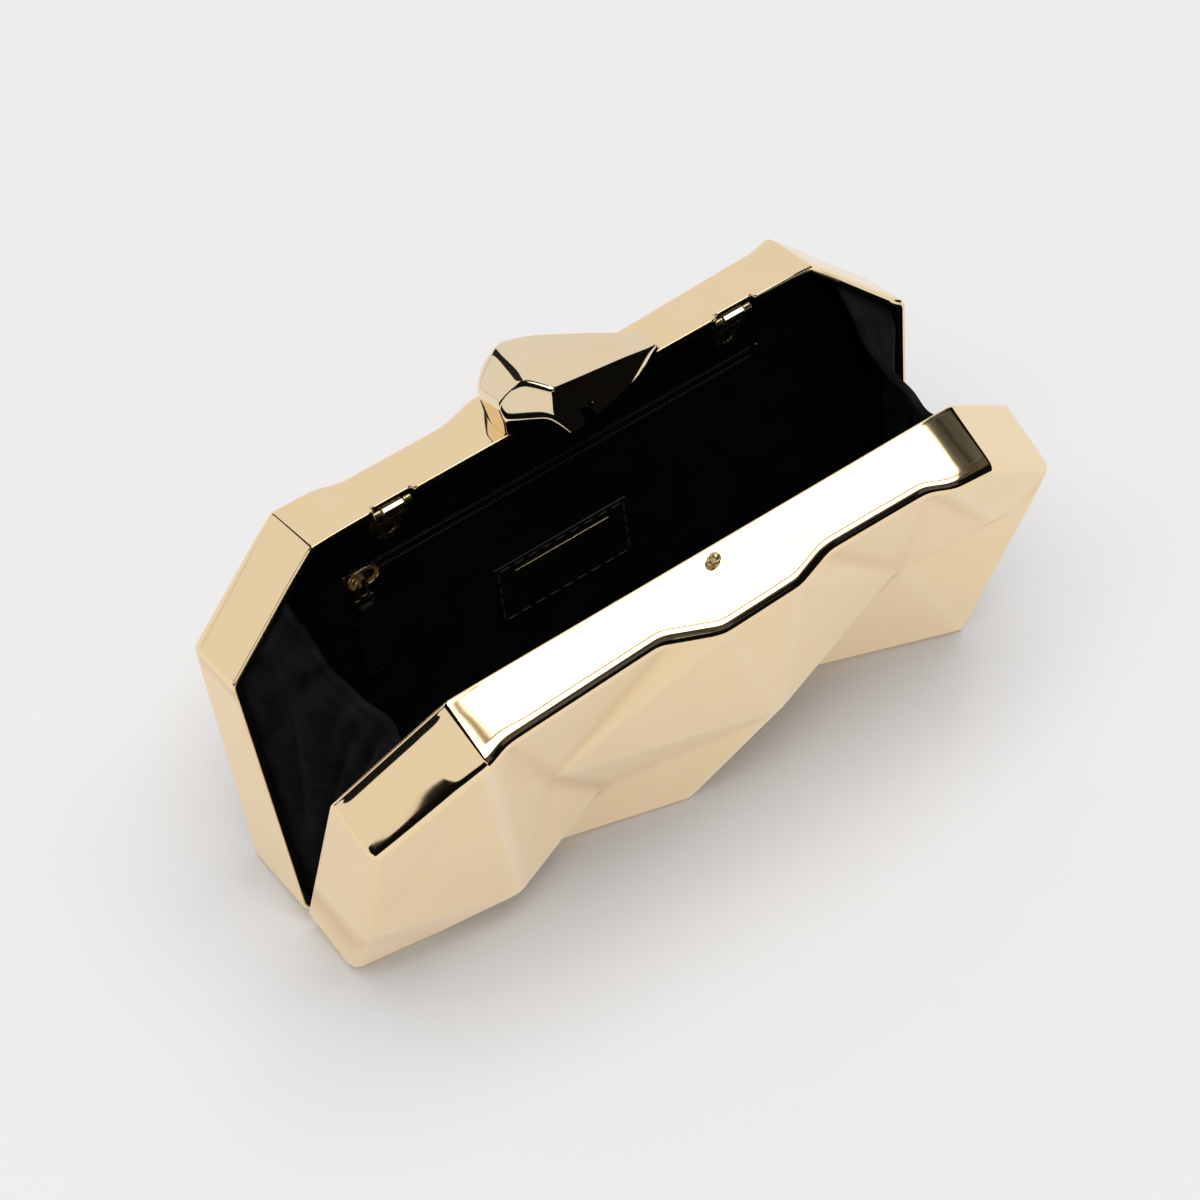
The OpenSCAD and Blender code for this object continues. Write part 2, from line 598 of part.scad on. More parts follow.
// The zip in the back lining, laid out along its middle line
tape_t = 0.5;
tape_w = 10;
tape_n = panel_n + lining_t + seat;
row_w = 1.6;
row_h = 0.8;
row_n = tape_n - row_h - seat;
teeth_x0 = -slot_l / 2 + 2;
teeth_x1 = slot_l / 2 - 2;
module at_zip(n) translate([0, n, zip_v]) children();
module zipper_tapes() color(velvet) on_back() at_zip(tape_n) for (side = [-1, 1])
  translate([-slot_l / 2 - 5, 0, side > 0 ? row_gap / 2 : -row_gap / 2 - tape_w])
    cube([slot_l + 10, tape_t, tape_w]);
// Each row is a wound strand: a core with a rib for every turn
module zipper_teeth() color([0.05, 0.05, 0.05]) on_back() at_zip(row_n) for (side = [-1, 1])
  translate([0, 0, side * (row_gap + row_w) / 2]) {
    translate([teeth_x0, 0.25, -row_w / 2 + 0.3]) cube([teeth_x1 - teeth_x0, row_h - 0.25, row_w - 0.6]);
    for (x = [teeth_x0 : tooth_pitch : teeth_x1 - tooth_pitch / 2])
      translate([x, 0, -row_w / 2]) cube([tooth_pitch / 2, row_h, row_w]);
  }
module zipper_stops() color(brass) on_back() at_zip(row_n)
  for (x = [-slot_l / 2 + 0.3, slot_l / 2 - 1.5]) translate([x, -0.2, -row_gap / 2 - row_w])
    cube([1.2, row_h + 0.2, row_gap + 2 * row_w]);
// The slider: two plates joined by a wedge that runs between the rows
plate_l = 9;
plate_w = 6.4;
plate_t = 1;
slider_top_n = row_n - 0.3 - plate_t;
slider_back_n = tape_n + tape_t + 0.25;
bridge_x = -2.2;
wire_r = 0.45;
bridge_in = 1.3;
module slider_plate(t) {
  rotate([-90, 0, 0]) linear_extrude(height = t) hull() {
    translate([-plate_l / 2 + 2, 0]) square([4, plate_w], center = true);
    translate([plate_l / 2 - 1.7, 0]) circle(d = plate_w - 3);
  }
}
module zipper_slider() color(brass) on_back() translate([slider_x, 0, zip_v]) {
  translate([0, slider_top_n, 0]) slider_plate(plate_t);
  translate([0, slider_back_n, 0]) slider_plate(0.7);
  translate([-plate_l / 2 + 0.6, slider_top_n + 0.2, -0.4]) cube([2.4, slider_back_n - slider_top_n, 0.8]);
  // Side rails that keep the rows together
  for (side = [-1, 1]) translate([-plate_l / 2 + 0.4, slider_top_n + plate_t - 0.1, side * (plate_w / 2 - 0.35) - 0.3])
    cube([4, 0.9, 0.6]);
  // The bridge that the pull's link goes through, its legs above and below it
  translate([bridge_x - 0.6, slider_top_n + 0.1, 0]) rotate([0, 90, 0])
    linear_extrude(height = 1.2) bridge_outline();
}
module bridge_outline() difference() {
  hull() {
    translate([-2.6, 0]) square([5.2, 0.6]);
    translate([-1.7, -2.3]) square([3.4, 0.4]);
  }
  translate([-bridge_in, -1.6]) square([2 * bridge_in, 1.7]);
}
// The link: a flat ring through the bridge, then a neck and a second eye for the leather
link_n = slider_top_n - 0.85;
link_t = 0.8;
// Distance from the zip's middle line to the bar that carries the leather
link_drop = 9.85;
eye_w = 4.2;
bar_w = 1.1;
// Shapes are drawn as [x, down]
module flat_on_panel(n, t) translate([0, n - t / 2, 0]) rotate([-90, 0, 0]) linear_extrude(height = t) children();
module pull_link() color(brass) on_back() translate([slider_x + bridge_x, 0, zip_v])
  flat_on_panel(link_n, link_t) difference() {
    union() {
      hull() {
        translate([0, 1.6]) circle(r = 2.1);
        translate([0, 4.4]) circle(r = 2.4);
      }
      translate([-eye_w / 2 - 0.9, link_drop - 3.8]) square([eye_w + 1.8, 3.8 + bar_w / 2]);
    }
    hull() {
      translate([0, 1.9]) square([2.4, 3.3], center = true);
      translate([0, 4.1]) circle(r = 1.3);
    }
    translate([-eye_w / 2, link_drop - 2.8]) square([eye_w, 2.8 - bar_w / 2]);
  }
// The leather pull, folded round the link's lower bar
pull_t = 1.2;
fold_r = 1.25;
fold_w = eye_w - 0.6;
module pull_tab() color(brown) on_back() translate([slider_x + bridge_x, 0, zip_v - link_drop]) difference() {
  union() {
    translate([-fold_w / 2, link_n, 0]) rotate([0, 90, 0]) cylinder(r = fold_r, h = fold_w);
    flat_on_panel(link_n, pull_t) polygon([
      [-fold_w / 2, 0], [fold_w / 2, 0], [fold_w / 2, 2.4], [pull_w / 2, 5], [pull_w / 2, pull_l - 1.5],
      [pull_w / 2 - 1.2, pull_l], [1.2 - pull_w / 2, pull_l], [-pull_w / 2, pull_l - 1.5], [-pull_w / 2, 5],
      [-fold_w / 2, 2.4]
    ]);
  }
  translate([-pull_w, link_n, 0]) rotate([0, 90, 0]) cylinder(r = 0.75, h = 2 * pull_w);
}
// The pocket's cloth, hung from both tapes and folded at the bottom
cloth_t = 0.5;
bag_n = slider_back_n + 0.7 + 0.4;
module pocket_bag() color(velvet) on_back()
  rotate([90, 0, 90]) linear_extrude(height = slot_l + 4, center = true) {
    front = tape_n + tape_t + seat;
    low_v = zip_v - pocket_drop;
    tape_low = zip_v - row_gap / 2 - tape_w;
    tape_high = zip_v + row_gap / 2 + tape_w;
    polygon([
      [front, tape_high], [front, tape_high - 5], [front + cloth_t, tape_high - 5],
      [bag_n + cloth_t + 0.3, tape_high - 8], [bag_n + cloth_t + 0.3, low_v + cloth_t], [bag_n, low_v + cloth_t],
      [bag_n, tape_low - 2], [front + cloth_t, tape_low + 2], [front + cloth_t, tape_low + 4],
      [front, tape_low + 4], [front, tape_low + 1.8], [bag_n - cloth_t, tape_low - 2.4],
      [bag_n - cloth_t, low_v], [bag_n + 2 * cloth_t + 0.3, low_v], [bag_n + 2 * cloth_t + 0.3, tape_high - 7.6],
      [front + 2 * cloth_t, tape_high - 4.2], [front + cloth_t, tape_high]
    ]);
  }

// The leather patch and its plain bar
patch_x = -2.5;
patch_t = 0.8;
bar_h = 1.4;
bar_t = 0.35;
bar_drop = 4.2;
module label_patch() color(hide) on_back()
  translate([patch_x, panel_n - seat, patch_top_v - patch_h / 2]) rotate([90, 0, 0])
    linear_extrude(height = patch_t) square([patch_w, patch_h], center = true);
module label_bar() color(brass) on_back()
  translate([patch_x, panel_n - 2 * seat - patch_t, patch_top_v - bar_drop]) rotate([90, 0, 0])
    linear_extrude(height = bar_t) square([bar_l, bar_h], center = true);

back_shell();
front_shell();
back_lining();
front_lining();
left_gusset();
right_gusset();
clasp_knob();
knob_screws();
catch_spring();
ball_stud();
ball_stud_nut();
left_loop_bracket();
left_loop_pin();
left_loop_tab();
right_loop_bracket();
right_loop_pin();
right_loop_tab();
loop_rivets();
left_hinge_back_leaf();
left_hinge_front_leaf();
left_hinge_pin();
right_hinge_back_leaf();
right_hinge_front_leaf();
right_hinge_pin();
hinge_back_rivets();
hinge_front_rivets();
zipper_tapes();
zipper_teeth();
zipper_stops();
zipper_slider();
pull_link();
pull_tab();
pocket_bag();
label_patch();
label_bar();
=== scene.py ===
# The looks of a faceted hard-shell evening clutch that stands open on its bottom edges.
# Sizes are in millimetres, as in the part's source, until place() turns them into metres.
# The sizes in finishes, lamps and cards are in metres.
# Shell frame: x along the clutch, n out from the mating plane to the face, v up from the hinge.
import math
import bmesh
import bpy
import numpy as np
from mathutils import Matrix, Vector
from mathutils.geometry import delaunay_2d_cdt


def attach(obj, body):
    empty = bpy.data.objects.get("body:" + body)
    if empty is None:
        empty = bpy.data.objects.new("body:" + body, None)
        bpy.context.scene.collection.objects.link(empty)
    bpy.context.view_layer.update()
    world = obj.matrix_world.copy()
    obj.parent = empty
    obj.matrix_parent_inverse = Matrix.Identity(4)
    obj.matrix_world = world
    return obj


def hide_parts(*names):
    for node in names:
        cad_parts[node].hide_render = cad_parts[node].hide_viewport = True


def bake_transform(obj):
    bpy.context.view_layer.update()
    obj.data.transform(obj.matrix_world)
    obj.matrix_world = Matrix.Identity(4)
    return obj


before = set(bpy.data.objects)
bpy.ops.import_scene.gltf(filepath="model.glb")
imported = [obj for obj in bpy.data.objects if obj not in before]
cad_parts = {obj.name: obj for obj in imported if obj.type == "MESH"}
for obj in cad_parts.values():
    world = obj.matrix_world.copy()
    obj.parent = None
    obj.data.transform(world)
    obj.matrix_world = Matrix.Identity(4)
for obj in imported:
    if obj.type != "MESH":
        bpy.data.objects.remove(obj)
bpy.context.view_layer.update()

MM = 0.001
SHELL_W = 235
SHELL_H = 127
TOP_W = 172
BOTTOM_W = 222
SHOULDER_DROP = 32
WALL = 1.4
DRAFT = 0.05
PEAK_N = 32
FOOT_N = 30
RIM_GAP = 0.15
LEAN = math.radians(13.95)
HINGE_Z = FOOT_N * math.sin(LEAN) - DRAFT * FOOT_N * math.cos(LEAN)
END_SLOPE = (SHELL_W - BOTTOM_W) / 2 / (SHELL_H - SHOULDER_DROP)


# Placing

def place(points, side="back"):
    """Shell points (x, n, v) in the row frame, in metres. The front is the back turned round."""
    p = np.asarray(points, float)
    x, n, v = p[..., 0], p[..., 1], p[..., 2]
    y = n * math.cos(LEAN) + v * math.sin(LEAN)
    z = v * math.cos(LEAN) - n * math.sin(LEAN) + HINGE_Z
    turn = 1 if side == "back" else -1
    return np.stack([turn * x, turn * y, z], -1) * MM


def piece(name, points, faces, finish_, smooth=True):
    """A new object from points in metres."""
    mesh = bpy.data.meshes.new(name)
    mesh.from_pydata([tuple(p) for p in points], [], [tuple(int(i) for i in f) for f in faces])
    mesh.materials.append(finish_)
    mesh.polygons.foreach_set("use_smooth", [smooth] * len(mesh.polygons))
    mesh.update()
    obj = bpy.data.objects.new(name, mesh)
    bpy.context.scene.collection.objects.link(obj)
    return obj


def dress(obj, body, slot, *nodes):
    """The object rides on a body and stands for CAD nodes. slot is not used."""
    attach(obj, body)
    if nodes:
        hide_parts(*nodes)


def modifier(obj, kind, **settings):
    added = obj.modifiers.new(kind.title(), kind)
    for key, value in settings.items():
        setattr(added, key, value)


def grid_faces(rows, cols, closed_rows=False, closed_cols=False):
    """Faces of a grid of points that are listed row by row. A closed grid meets its own start."""
    faces = []
    for r in range(rows if closed_rows else rows - 1):
        base, after = r * cols, (r + 1) % rows * cols
        for c in range(cols if closed_cols else cols - 1):
            nxt = (c + 1) % cols
            faces.append((base + c, base + nxt, after + nxt, after + c))
    return faces


def end_caps(rows, cols):
    """The first and the last row of a grid of points, each as one face."""
    return [tuple(range(cols))[::-1], tuple(range((rows - 1) * cols, rows * cols))]


# The camera, placed round TARGET and shifted in its own plane. Distances are in metres
AZIMUTH = math.radians(-39.598)
ELEVATION = math.radians(54.138)
ROLL = math.radians(3.468)
DISTANCE = 1.249252
SHIFT_RIGHT = -0.007415
SHIFT_UP = 0.000779
LENS = 132.453
TARGET = Vector((0, 0, (SHELL_H / 2 + HINGE_Z) * MM))


def camera():
    back = Vector((math.sin(AZIMUTH) * math.cos(ELEVATION), -math.cos(AZIMUTH) * math.cos(ELEVATION),
                   math.sin(ELEVATION)))
    level = Vector((math.cos(AZIMUTH), math.sin(AZIMUTH), 0))
    upright = back.cross(level)
    right = level * math.cos(ROLL) + upright * math.sin(ROLL)
    up = upright * math.cos(ROLL) - level * math.sin(ROLL)
    data = bpy.data.cameras.new("camera")
    data.lens = LENS
    data.sensor_width = 36
    data.sensor_fit = "HORIZONTAL"
    data.clip_start = 0.05
    data.clip_end = 50
    obj = bpy.data.objects.new("camera", data)
    turn = Matrix((right, up, back)).transposed().to_4x4()
    turn.translation = TARGET + back * DISTANCE + right * SHIFT_RIGHT + up * SHIFT_UP
    obj.matrix_world = turn
    bpy.context.scene.collection.objects.link(obj)
    bpy.context.scene.camera = obj


# Finishes

class Value:
    """A socket in an expression. An operator adds the Math node that works it out."""

    def __init__(self, tree, socket):
        self.tree = tree
        self.socket = socket

    def maths(self, operation, a, b=0.0):
        node = self.tree.nodes.new("ShaderNodeMath")
        node.operation = operation
        for socket, value in zip(node.inputs, (a, b)):
            connect(self.tree, socket, value)
        return Value(self.tree, node.outputs[0])

    def __add__(self, other):
        return self.maths("ADD", self, other)

    def __radd__(self, other):
        return self.maths("ADD", other, self)

    def __sub__(self, other):
        return self.maths("SUBTRACT", self, other)

    def __rsub__(self, other):
        return self.maths("SUBTRACT", other, self)

    def __mul__(self, other):
        return self.maths("MULTIPLY", self, other)

    def sine(self):
        return self.maths("SINE", self)

    def largest(self, other):
        return self.maths("MAXIMUM", self, other)


def connect(tree, socket, value):
    if isinstance(value, Value):
        tree.links.new(value.socket, socket)
    else:
        socket.default_value = value


class Nodes:
    """Makes the nodes of one material or world."""

    def __init__(self, tree):
        self.tree = tree

    def make(self, kind, settings=None, inputs=None, output=0):
        """A node with its settings set first, then its sockets. Gives one output, or all for None."""
        node = self.tree.nodes.new("ShaderNode" + kind)
        for key, value in (settings or {}).items():
            if key == "stops":
                set_stops(node.color_ramp, value)
            else:
                setattr(node, key, value)
        for key, value in (inputs or {}).items():
            connect(self.tree, node.inputs[key], value)
        if output is None:
            return [Value(self.tree, socket) for socket in node.outputs]
        return Value(self.tree, node.outputs[output])

    def place(self, scale=(1, 1, 1)):
        """Where a point lies on the object, in metres, stretched by scale."""
        spot = self.make("TexCoord", output="Object")
        return self.make("Mapping", inputs={"Vector": spot, "Scale": scale})

    def noise(self, scale, detail=2.0, rough=0.5, stretch=(1, 1, 1), distortion=0.0):
        inputs = {"Vector": self.place(stretch), "Scale": scale, "Detail": detail, "Roughness": rough,
                  "Distortion": distortion}
        return self.make("TexNoise", inputs=inputs, output="Fac")

    def cells(self, scale, feature):
        inputs = {"Vector": self.place(), "Scale": scale}
        return self.make("TexVoronoi", {"feature": feature}, inputs, "Distance")

    def along(self):
        """The x, y and z of a point on the object, in metres."""
        return self.make("SeparateXYZ", inputs={"Vector": self.place()}, output=None)

    def blend(self, factor, first, second):
        """A colour between two colours."""
        return self.make("Mix", {"data_type": "RGBA"}, {0: factor, 6: first, 7: second}, 2)

    def ramp(self, factor, stops):
        return self.make("ValToRGB", {"stops": stops}, {"Fac": factor}, "Color")

    def painted(self, name):
        """A value that the mesh carries at its points."""
        return self.make("Attribute", {"attribute_name": name}, output="Fac")

    def bump(self, height, distance, strength=1.0, under=None):
        inputs = {"Height": height, "Distance": distance, "Strength": strength}
        if under is not None:
            inputs["Normal"] = under
        return self.make("Bump", inputs=inputs)


def set_stops(ramp, stops):
    """Stops are (position, colour)."""
    while len(ramp.elements) < len(stops):
        ramp.elements.new(1)
    for element, (position, colour) in zip(ramp.elements, stops):
        element.position = position
        element.color = colour


def rgb(red, green, blue):
    return (red, green, blue, 1.0)


def grey(level):
    return rgb(level, level, level)


def finish(name, build):
    """A material whose sockets are filled by build(nodes)."""
    material = bpy.data.materials.new(name)
    material.use_nodes = True
    tree = material.node_tree
    shader = tree.nodes["Principled BSDF"]
    for key, value in build(Nodes(tree)).items():
        connect(tree, shader.inputs[key], value)
    return material


def sockets(tone, rough, normal, **others):
    """What a finish gives its sockets. The names of others have _ for each space."""
    given = {"Base Color": tone, "Roughness": rough, "Normal": normal}
    given.update({key.replace("_", " "): value for key, value in others.items()})
    return given


def metal(tone, rough, normal, **others):
    return sockets(tone, rough, normal, **{"Metallic": 1.0, **others})


def shell_gold(nodes):
    """Plated moulding: mirror-bright walls, and faces with a fine sparkling grain. The ridges between facets
    carry a painted highlight and the valleys painted shade.
    """
    satin = nodes.painted("satin")
    ridge = nodes.painted("ridge")
    grain = nodes.noise(1150, 2.0, 0.6)
    cloud = nodes.noise(38, 3.0, 0.5)
    ripple = nodes.noise(48, 1.0, 0.4)
    mix = cloud * 0.6 + grain * satin * 0.6 - 0.05
    tone = nodes.blend(mix, rgb(1.0, 0.79, 0.49), rgb(0.95, 0.715, 0.415))
    # Painted highlight on the ridges between facets, then painted shade in the valleys
    tone = nodes.blend(ridge * 0.7, tone, rgb(1.0, 0.88, 0.68))
    tone = nodes.blend(ridge * -0.85, tone, rgb(0.66, 0.42, 0.19))
    rough = 0.035 + cloud * 0.03 + satin * 0.265 - ridge.largest(0) * 0.08
    soft = nodes.bump(ripple, 0.0003, 0.25)
    return metal(tone, rough, nodes.bump(grain * satin, 0.00007, 0.7, soft))


def knob_gold(nodes):
    """The knob's plating, polished to a mirror."""
    cloud = nodes.noise(90, 2.0, 0.5)
    ripple = nodes.noise(120, 1.0, 0.4)
    tone = nodes.blend(cloud * 0.6, rgb(0.96, 0.8, 0.56), rgb(0.86, 0.69, 0.44))
    return metal(tone, 0.03 + cloud * 0.04, nodes.bump(ripple, 0.0002, 0.2))


def hardware_gold(nodes):
    """Stamped and plated fittings, rubbed a little along their length."""
    rub = nodes.noise(900, 3.0, 0.6, (0.15, 1, 1))
    spots = nodes.noise(160, 2.0, 0.5)
    tone = nodes.blend(spots * 0.8, rgb(0.98, 0.79, 0.48), rgb(0.84, 0.62, 0.32))
    return metal(tone, 0.2 + rub * 0.16, nodes.bump(rub, 0.00003, 0.5))


def polished_gold(nodes):
    """The loop brackets and their knuckles, polished bright."""
    lines = nodes.noise(1500, 3.0, 0.6, (0.04, 1, 1))
    spots = nodes.noise(200, 2.0, 0.5)
    tone = nodes.blend(spots * 0.6, rgb(1.0, 0.9, 0.68), rgb(0.94, 0.8, 0.52))
    return metal(tone, 0.07 + lines * 0.1, nodes.bump(lines, 0.00002, 0.4))


def amber_gold(nodes):
    """Lacquered brass in the slider's dish, darker where the lacquer pools."""
    pools = nodes.noise(420, 3.0, 0.6)
    tone = nodes.blend(pools * 1.2 - 0.1, rgb(0.78, 0.42, 0.11), rgb(0.36, 0.14, 0.025))
    normal = nodes.bump(pools, 0.00004, 0.6)
    return metal(tone, 0.34 + pools * 0.16, normal, Metallic=0.75, Coat_Weight=0.4)


def pile(nodes, deep, light, crush):
    """Black velvet: short pile with patches where it was stroked the other way."""
    hairs = nodes.noise(5200, 2.0, 0.7)
    strokes = nodes.noise(crush, 4.0, 0.55, (1, 1, 1), 0.4)
    tone = nodes.ramp(strokes * 0.7 + hairs * 0.45 - 0.1, [(0.3, deep), (0.75, light)])
    normal = nodes.bump(hairs, 0.00025, 0.6, nodes.bump(strokes, 0.0006, 0.35))
    return sockets(tone, 0.82 + hairs * 0.15, normal, Sheen_Weight=0.035, Sheen_Roughness=0.4,
                   Sheen_Tint=rgb(0.33, 0.33, 0.34), Specular_IOR_Level=0.04)


def lining_velvet(nodes):
    return pile(nodes, rgb(0.0011, 0.001, 0.001), rgb(0.0052, 0.005, 0.0048), 70)


def gusset_velvet(nodes):
    return pile(nodes, rgb(0.0016, 0.0017, 0.0019), rgb(0.0165, 0.017, 0.0182), 90)


def woven(nodes, colour, dark, pitch):
    """Plain weave in x and z."""
    x, y, z = nodes.along()
    warp = (x * (math.tau / pitch)).sine()
    weft = ((z + y * 0.25) * (math.tau / pitch)).sine()
    cross = warp * weft * 0.5 + 0.5
    fuzz = nodes.noise(4200, 2.0, 0.6)
    tone = nodes.blend(cross * 0.7 + fuzz * 0.3, dark, colour)
    normal = nodes.bump(cross + fuzz * 0.3, 0.0001, 0.7)
    return sockets(tone, 0.78 + fuzz * 0.18, normal, Specular_IOR_Level=0.08)


def tape_cloth(nodes):
    return woven(nodes, rgb(0.0036, 0.0036, 0.0038), rgb(0.001, 0.001, 0.0011), 0.0007)


def pocket_cloth(nodes):
    return woven(nodes, rgb(0.03, 0.03, 0.031), rgb(0.01, 0.01, 0.0105), 0.0005)


def coil_plastic(nodes):
    speck = nodes.noise(2600, 2.0, 0.5)
    tone = nodes.blend(speck, rgb(0.009, 0.009, 0.0095), rgb(0.021, 0.021, 0.022))
    return sockets(tone, 0.22 + speck * 0.12, nodes.bump(speck, 0.00003, 0.5))


def leather(nodes, deep, light, rough, coat=0.0):
    """Pebbled grain with pores. The light colour lies on the pebbles and the deep one in the creases."""
    pebbles = nodes.cells(1500, "SMOOTH_F1")
    creases = nodes.cells(1500, "DISTANCE_TO_EDGE")
    pores = nodes.noise(4200, 2.0, 0.6)
    shade = nodes.noise(90, 3.0, 0.5)
    raised = 1 - pebbles + creases * 0.8 + pores * 0.15
    tone = nodes.blend(shade * 0.6 + creases * 1.2, deep, light)
    normal = nodes.bump(raised, 0.00012, 0.6)
    return sockets(tone, rough + pores * 0.16, normal, Specular_IOR_Level=0.45, Coat_Weight=coat)


def patch_leather(nodes):
    return leather(nodes, rgb(0.0015, 0.0014, 0.0014), rgb(0.006, 0.0056, 0.0055), 0.3, 0.6)


def pull_leather(nodes):
    return leather(nodes, rgb(0.0026, 0.0013, 0.0009), rgb(0.0075, 0.0035, 0.0024), 0.5)


def thread(nodes):
    twist = nodes.noise(3800, 2.0, 0.5, (0.3, 1, 1))
    tone = nodes.blend(twist, rgb(0.014, 0.013, 0.012), rgb(0.06, 0.055, 0.048))
    return sockets(tone, 0.42 + twist * 0.15, nodes.bump(twist, 0.00006, 0.7))


SHELL = finish("shell gold", shell_gold)
KNOB = finish("knob gold", knob_gold)
BRASS = finish("hardware gold", hardware_gold)
POLISHED = finish("polished gold", polished_gold)
AMBER = finish("amber gold", amber_gold)
VELVET = finish("lining velvet", lining_velvet)
GUSSET = finish("gusset velvet", gusset_velvet)
TAPE = finish("zip tape", tape_cloth)
CLOTH = finish("pocket cloth", pocket_cloth)
COIL = finish("zip coil", coil_plastic)
PATCH = finish("patch leather", patch_leather)
PULL = finish("pull leather", pull_leather)
THREAD = finish("black thread", thread)


# The outline

def outline():
    """Corners of the mating outline, clockwise from the top left, as (x, v)."""
    shoulder = SHELL_H - SHOULDER_DROP
    return np.array([
        [-TOP_W / 2, SHELL_H], [TOP_W / 2, SHELL_H], [SHELL_W / 2, shoulder],
        [BOTTOM_W / 2, 0], [-BOTTOM_W / 2, 0], [-SHELL_W / 2, shoulder],
    ])


CORNERS = outline()
# Radius of each corner of the outline, at the mating edge
CORNER_R = [2.2, 2.4, 4.0, 4.8, 4.8, 4.0]
LEAST_R = 0.6
DEEPEST_INSET = 5.6
# Past CROWN_X the top wall dips by CROWN_DIP times the square of the way, fading out over CROWN_FADE
CROWN_X = 69
CROWN_DIP = 0.0021
CROWN_FADE = 9
# Half the distance between the two samples at a step in the rim
CLOSE = 0.12


def inward(a, b):
    d = (b - a) / np.linalg.norm(b - a)
    return np.array([d[1], -d[0]])


def corner(i, w):
    """Corner i of the outline, moved in by w from both of its edges."""
    m1 = inward(CORNERS[i - 1], CORNERS[i])
    m2 = inward(CORNERS[i], CORNERS[(i + 1) % 6])
    return CORNERS[i] + w * (m1 + m2) / (1 + m1 @ m2)


def edge_stations(length, start, end, pitch, steps):
    """Distances along an edge for its samples, with a close pair at every step in the rim."""
    marks = [start] + [s + d for s in steps for d in (-CLOSE, CLOSE)] + [length - end]
    out = []
    for a, b in zip(marks, marks[1:]):
        count = max(1, math.ceil((b - a) / pitch))
        out += [a + (b - a) * k / count for k in range(count)]
    return out + [marks[-1]]


# Polished edges of the outline are 0: the top wall and both shoulders. Satin ones are 1.
SATIN_EDGE = [0, 0, 1, 1, 1, 0]
# Radius of the rim's outer edge along each edge of the outline
RIM_EDGE = [0.6, 0.7, 0.9, 0.9, 0.9, 1.3]
# How far from the face each wall starts to lean in, at its ends and in its middle
LEAD_EDGE = [(3, 3), (3, 3), (2.5, 2.5), (2.5, 2.5), (2.5, 2.5), (3, 6.5)]
# How far each wall bows in to its rim, over RIM_LEAD_L
RIM_BOW = [0, 0, 0, 0, 0, 0.45]
RIM_LEAD_L = 3.6
# Over what length a bow starts and ends along its wall
BOW_RUN = 5
CORNER_POINTS = 7
# How far past its rounded corners an edge's first and last points lie
CORNER_CLEAR = 0.3


class Perimeter:
    """Samples round the outline. at(w) gives their places when moved in by w."""

    def __init__(self, pitch, steps):
        self.anchors = []
        rows = []
        for i in range(6):
            m1 = inward(CORNERS[i - 1], CORNERS[i])
            m2 = inward(CORNERS[i], CORNERS[(i + 1) % 6])
            turn = math.acos(np.clip(m1 @ m2, -1, 1))
            for k in range(CORNER_POINTS):
                a = k / (CORNER_POINTS - 1)
                u = -(math.sin((1 - a) * turn) * m1 + math.sin(a * turn) * m2) / math.sin(turn)
                self.anchors.append(("arc", i, u))
                pairs = [(edge[i - 1], edge[i]) for edge in (SATIN_EDGE, RIM_EDGE)]
                pairs += [(0, 0), (LEAD_EDGE[i - 1][0], LEAD_EDGE[i][0])]
                rows.append([before * (1 - a) + after * a for before, after in pairs])
            nxt = (i + 1) % 6
            m3 = inward(CORNERS[nxt], CORNERS[(nxt + 1) % 6])
            next_turn = math.acos(np.clip(m2 @ m3, -1, 1))
            start = max(CORNER_R[i], DEEPEST_INSET + LEAST_R) * math.tan(turn / 2) + CORNER_CLEAR
            end = max(CORNER_R[nxt], DEEPEST_INSET + LEAST_R) * math.tan(next_turn / 2) + CORNER_CLEAR
            length = np.linalg.norm(CORNERS[nxt] - CORNERS[i])
            for t in edge_stations(length, start, end, pitch, steps.get(i, [])):
                along = (CORNERS[nxt] - CORNERS[i]) / length
                self.anchors.append(("edge", CORNERS[i] + along * t, m2))
                bow = max(0, RIM_BOW[i] * min(1, t / BOW_RUN, (length - t) / BOW_RUN))
                ends, middle = LEAD_EDGE[i]
                lead = ends + (middle - ends) * math.sin(math.pi * t / length) ** 2
                rows.append([SATIN_EDGE[i], RIM_EDGE[i], bow, lead])
        self.satin, self.rim, self.bow, self.lead = np.array(rows, float).T

    def at(self, w):
        """The top wall dips a little toward both of its ends."""
        out = self.flat_at(w)
        over = np.clip(np.abs(out[:, 0]) - CROWN_X, 0, TOP_W / 2 - CROWN_X)
        near_top = np.clip((out[:, 1] - SHELL_H + CROWN_FADE) / CROWN_FADE, 0, 1)
        out[:, 1] -= near_top * over ** 2 * CROWN_DIP
        return out

    def flat_at(self, w):
        w = np.broadcast_to(w, len(self.anchors))
        out = []
        for (kind, a, b), move in zip(self.anchors, w):
            if kind == "edge":
                out.append(a + b * move)
            else:
                r = CORNER_R[a]
                out.append(corner(a, max(r, move + LEAST_R)) + b * max(r - move, LEAST_R))
        return np.array(out)


# The faceted face

def on_wall(i, n):
    """A corner of the face on corner i of the outline."""
    x, v = corner(i, DRAFT * n)
    return (x, n, v)


def on_top(x, n):
    return (x, n, SHELL_H - DRAFT * n)


def on_bottom(x, n):
    return (x, n, DRAFT * n)


def on_end(side, v, n):
    return (side * (BOTTOM_W / 2 + END_SLOPE * v - DRAFT * n * math.hypot(1, END_SLOPE)), n, v)


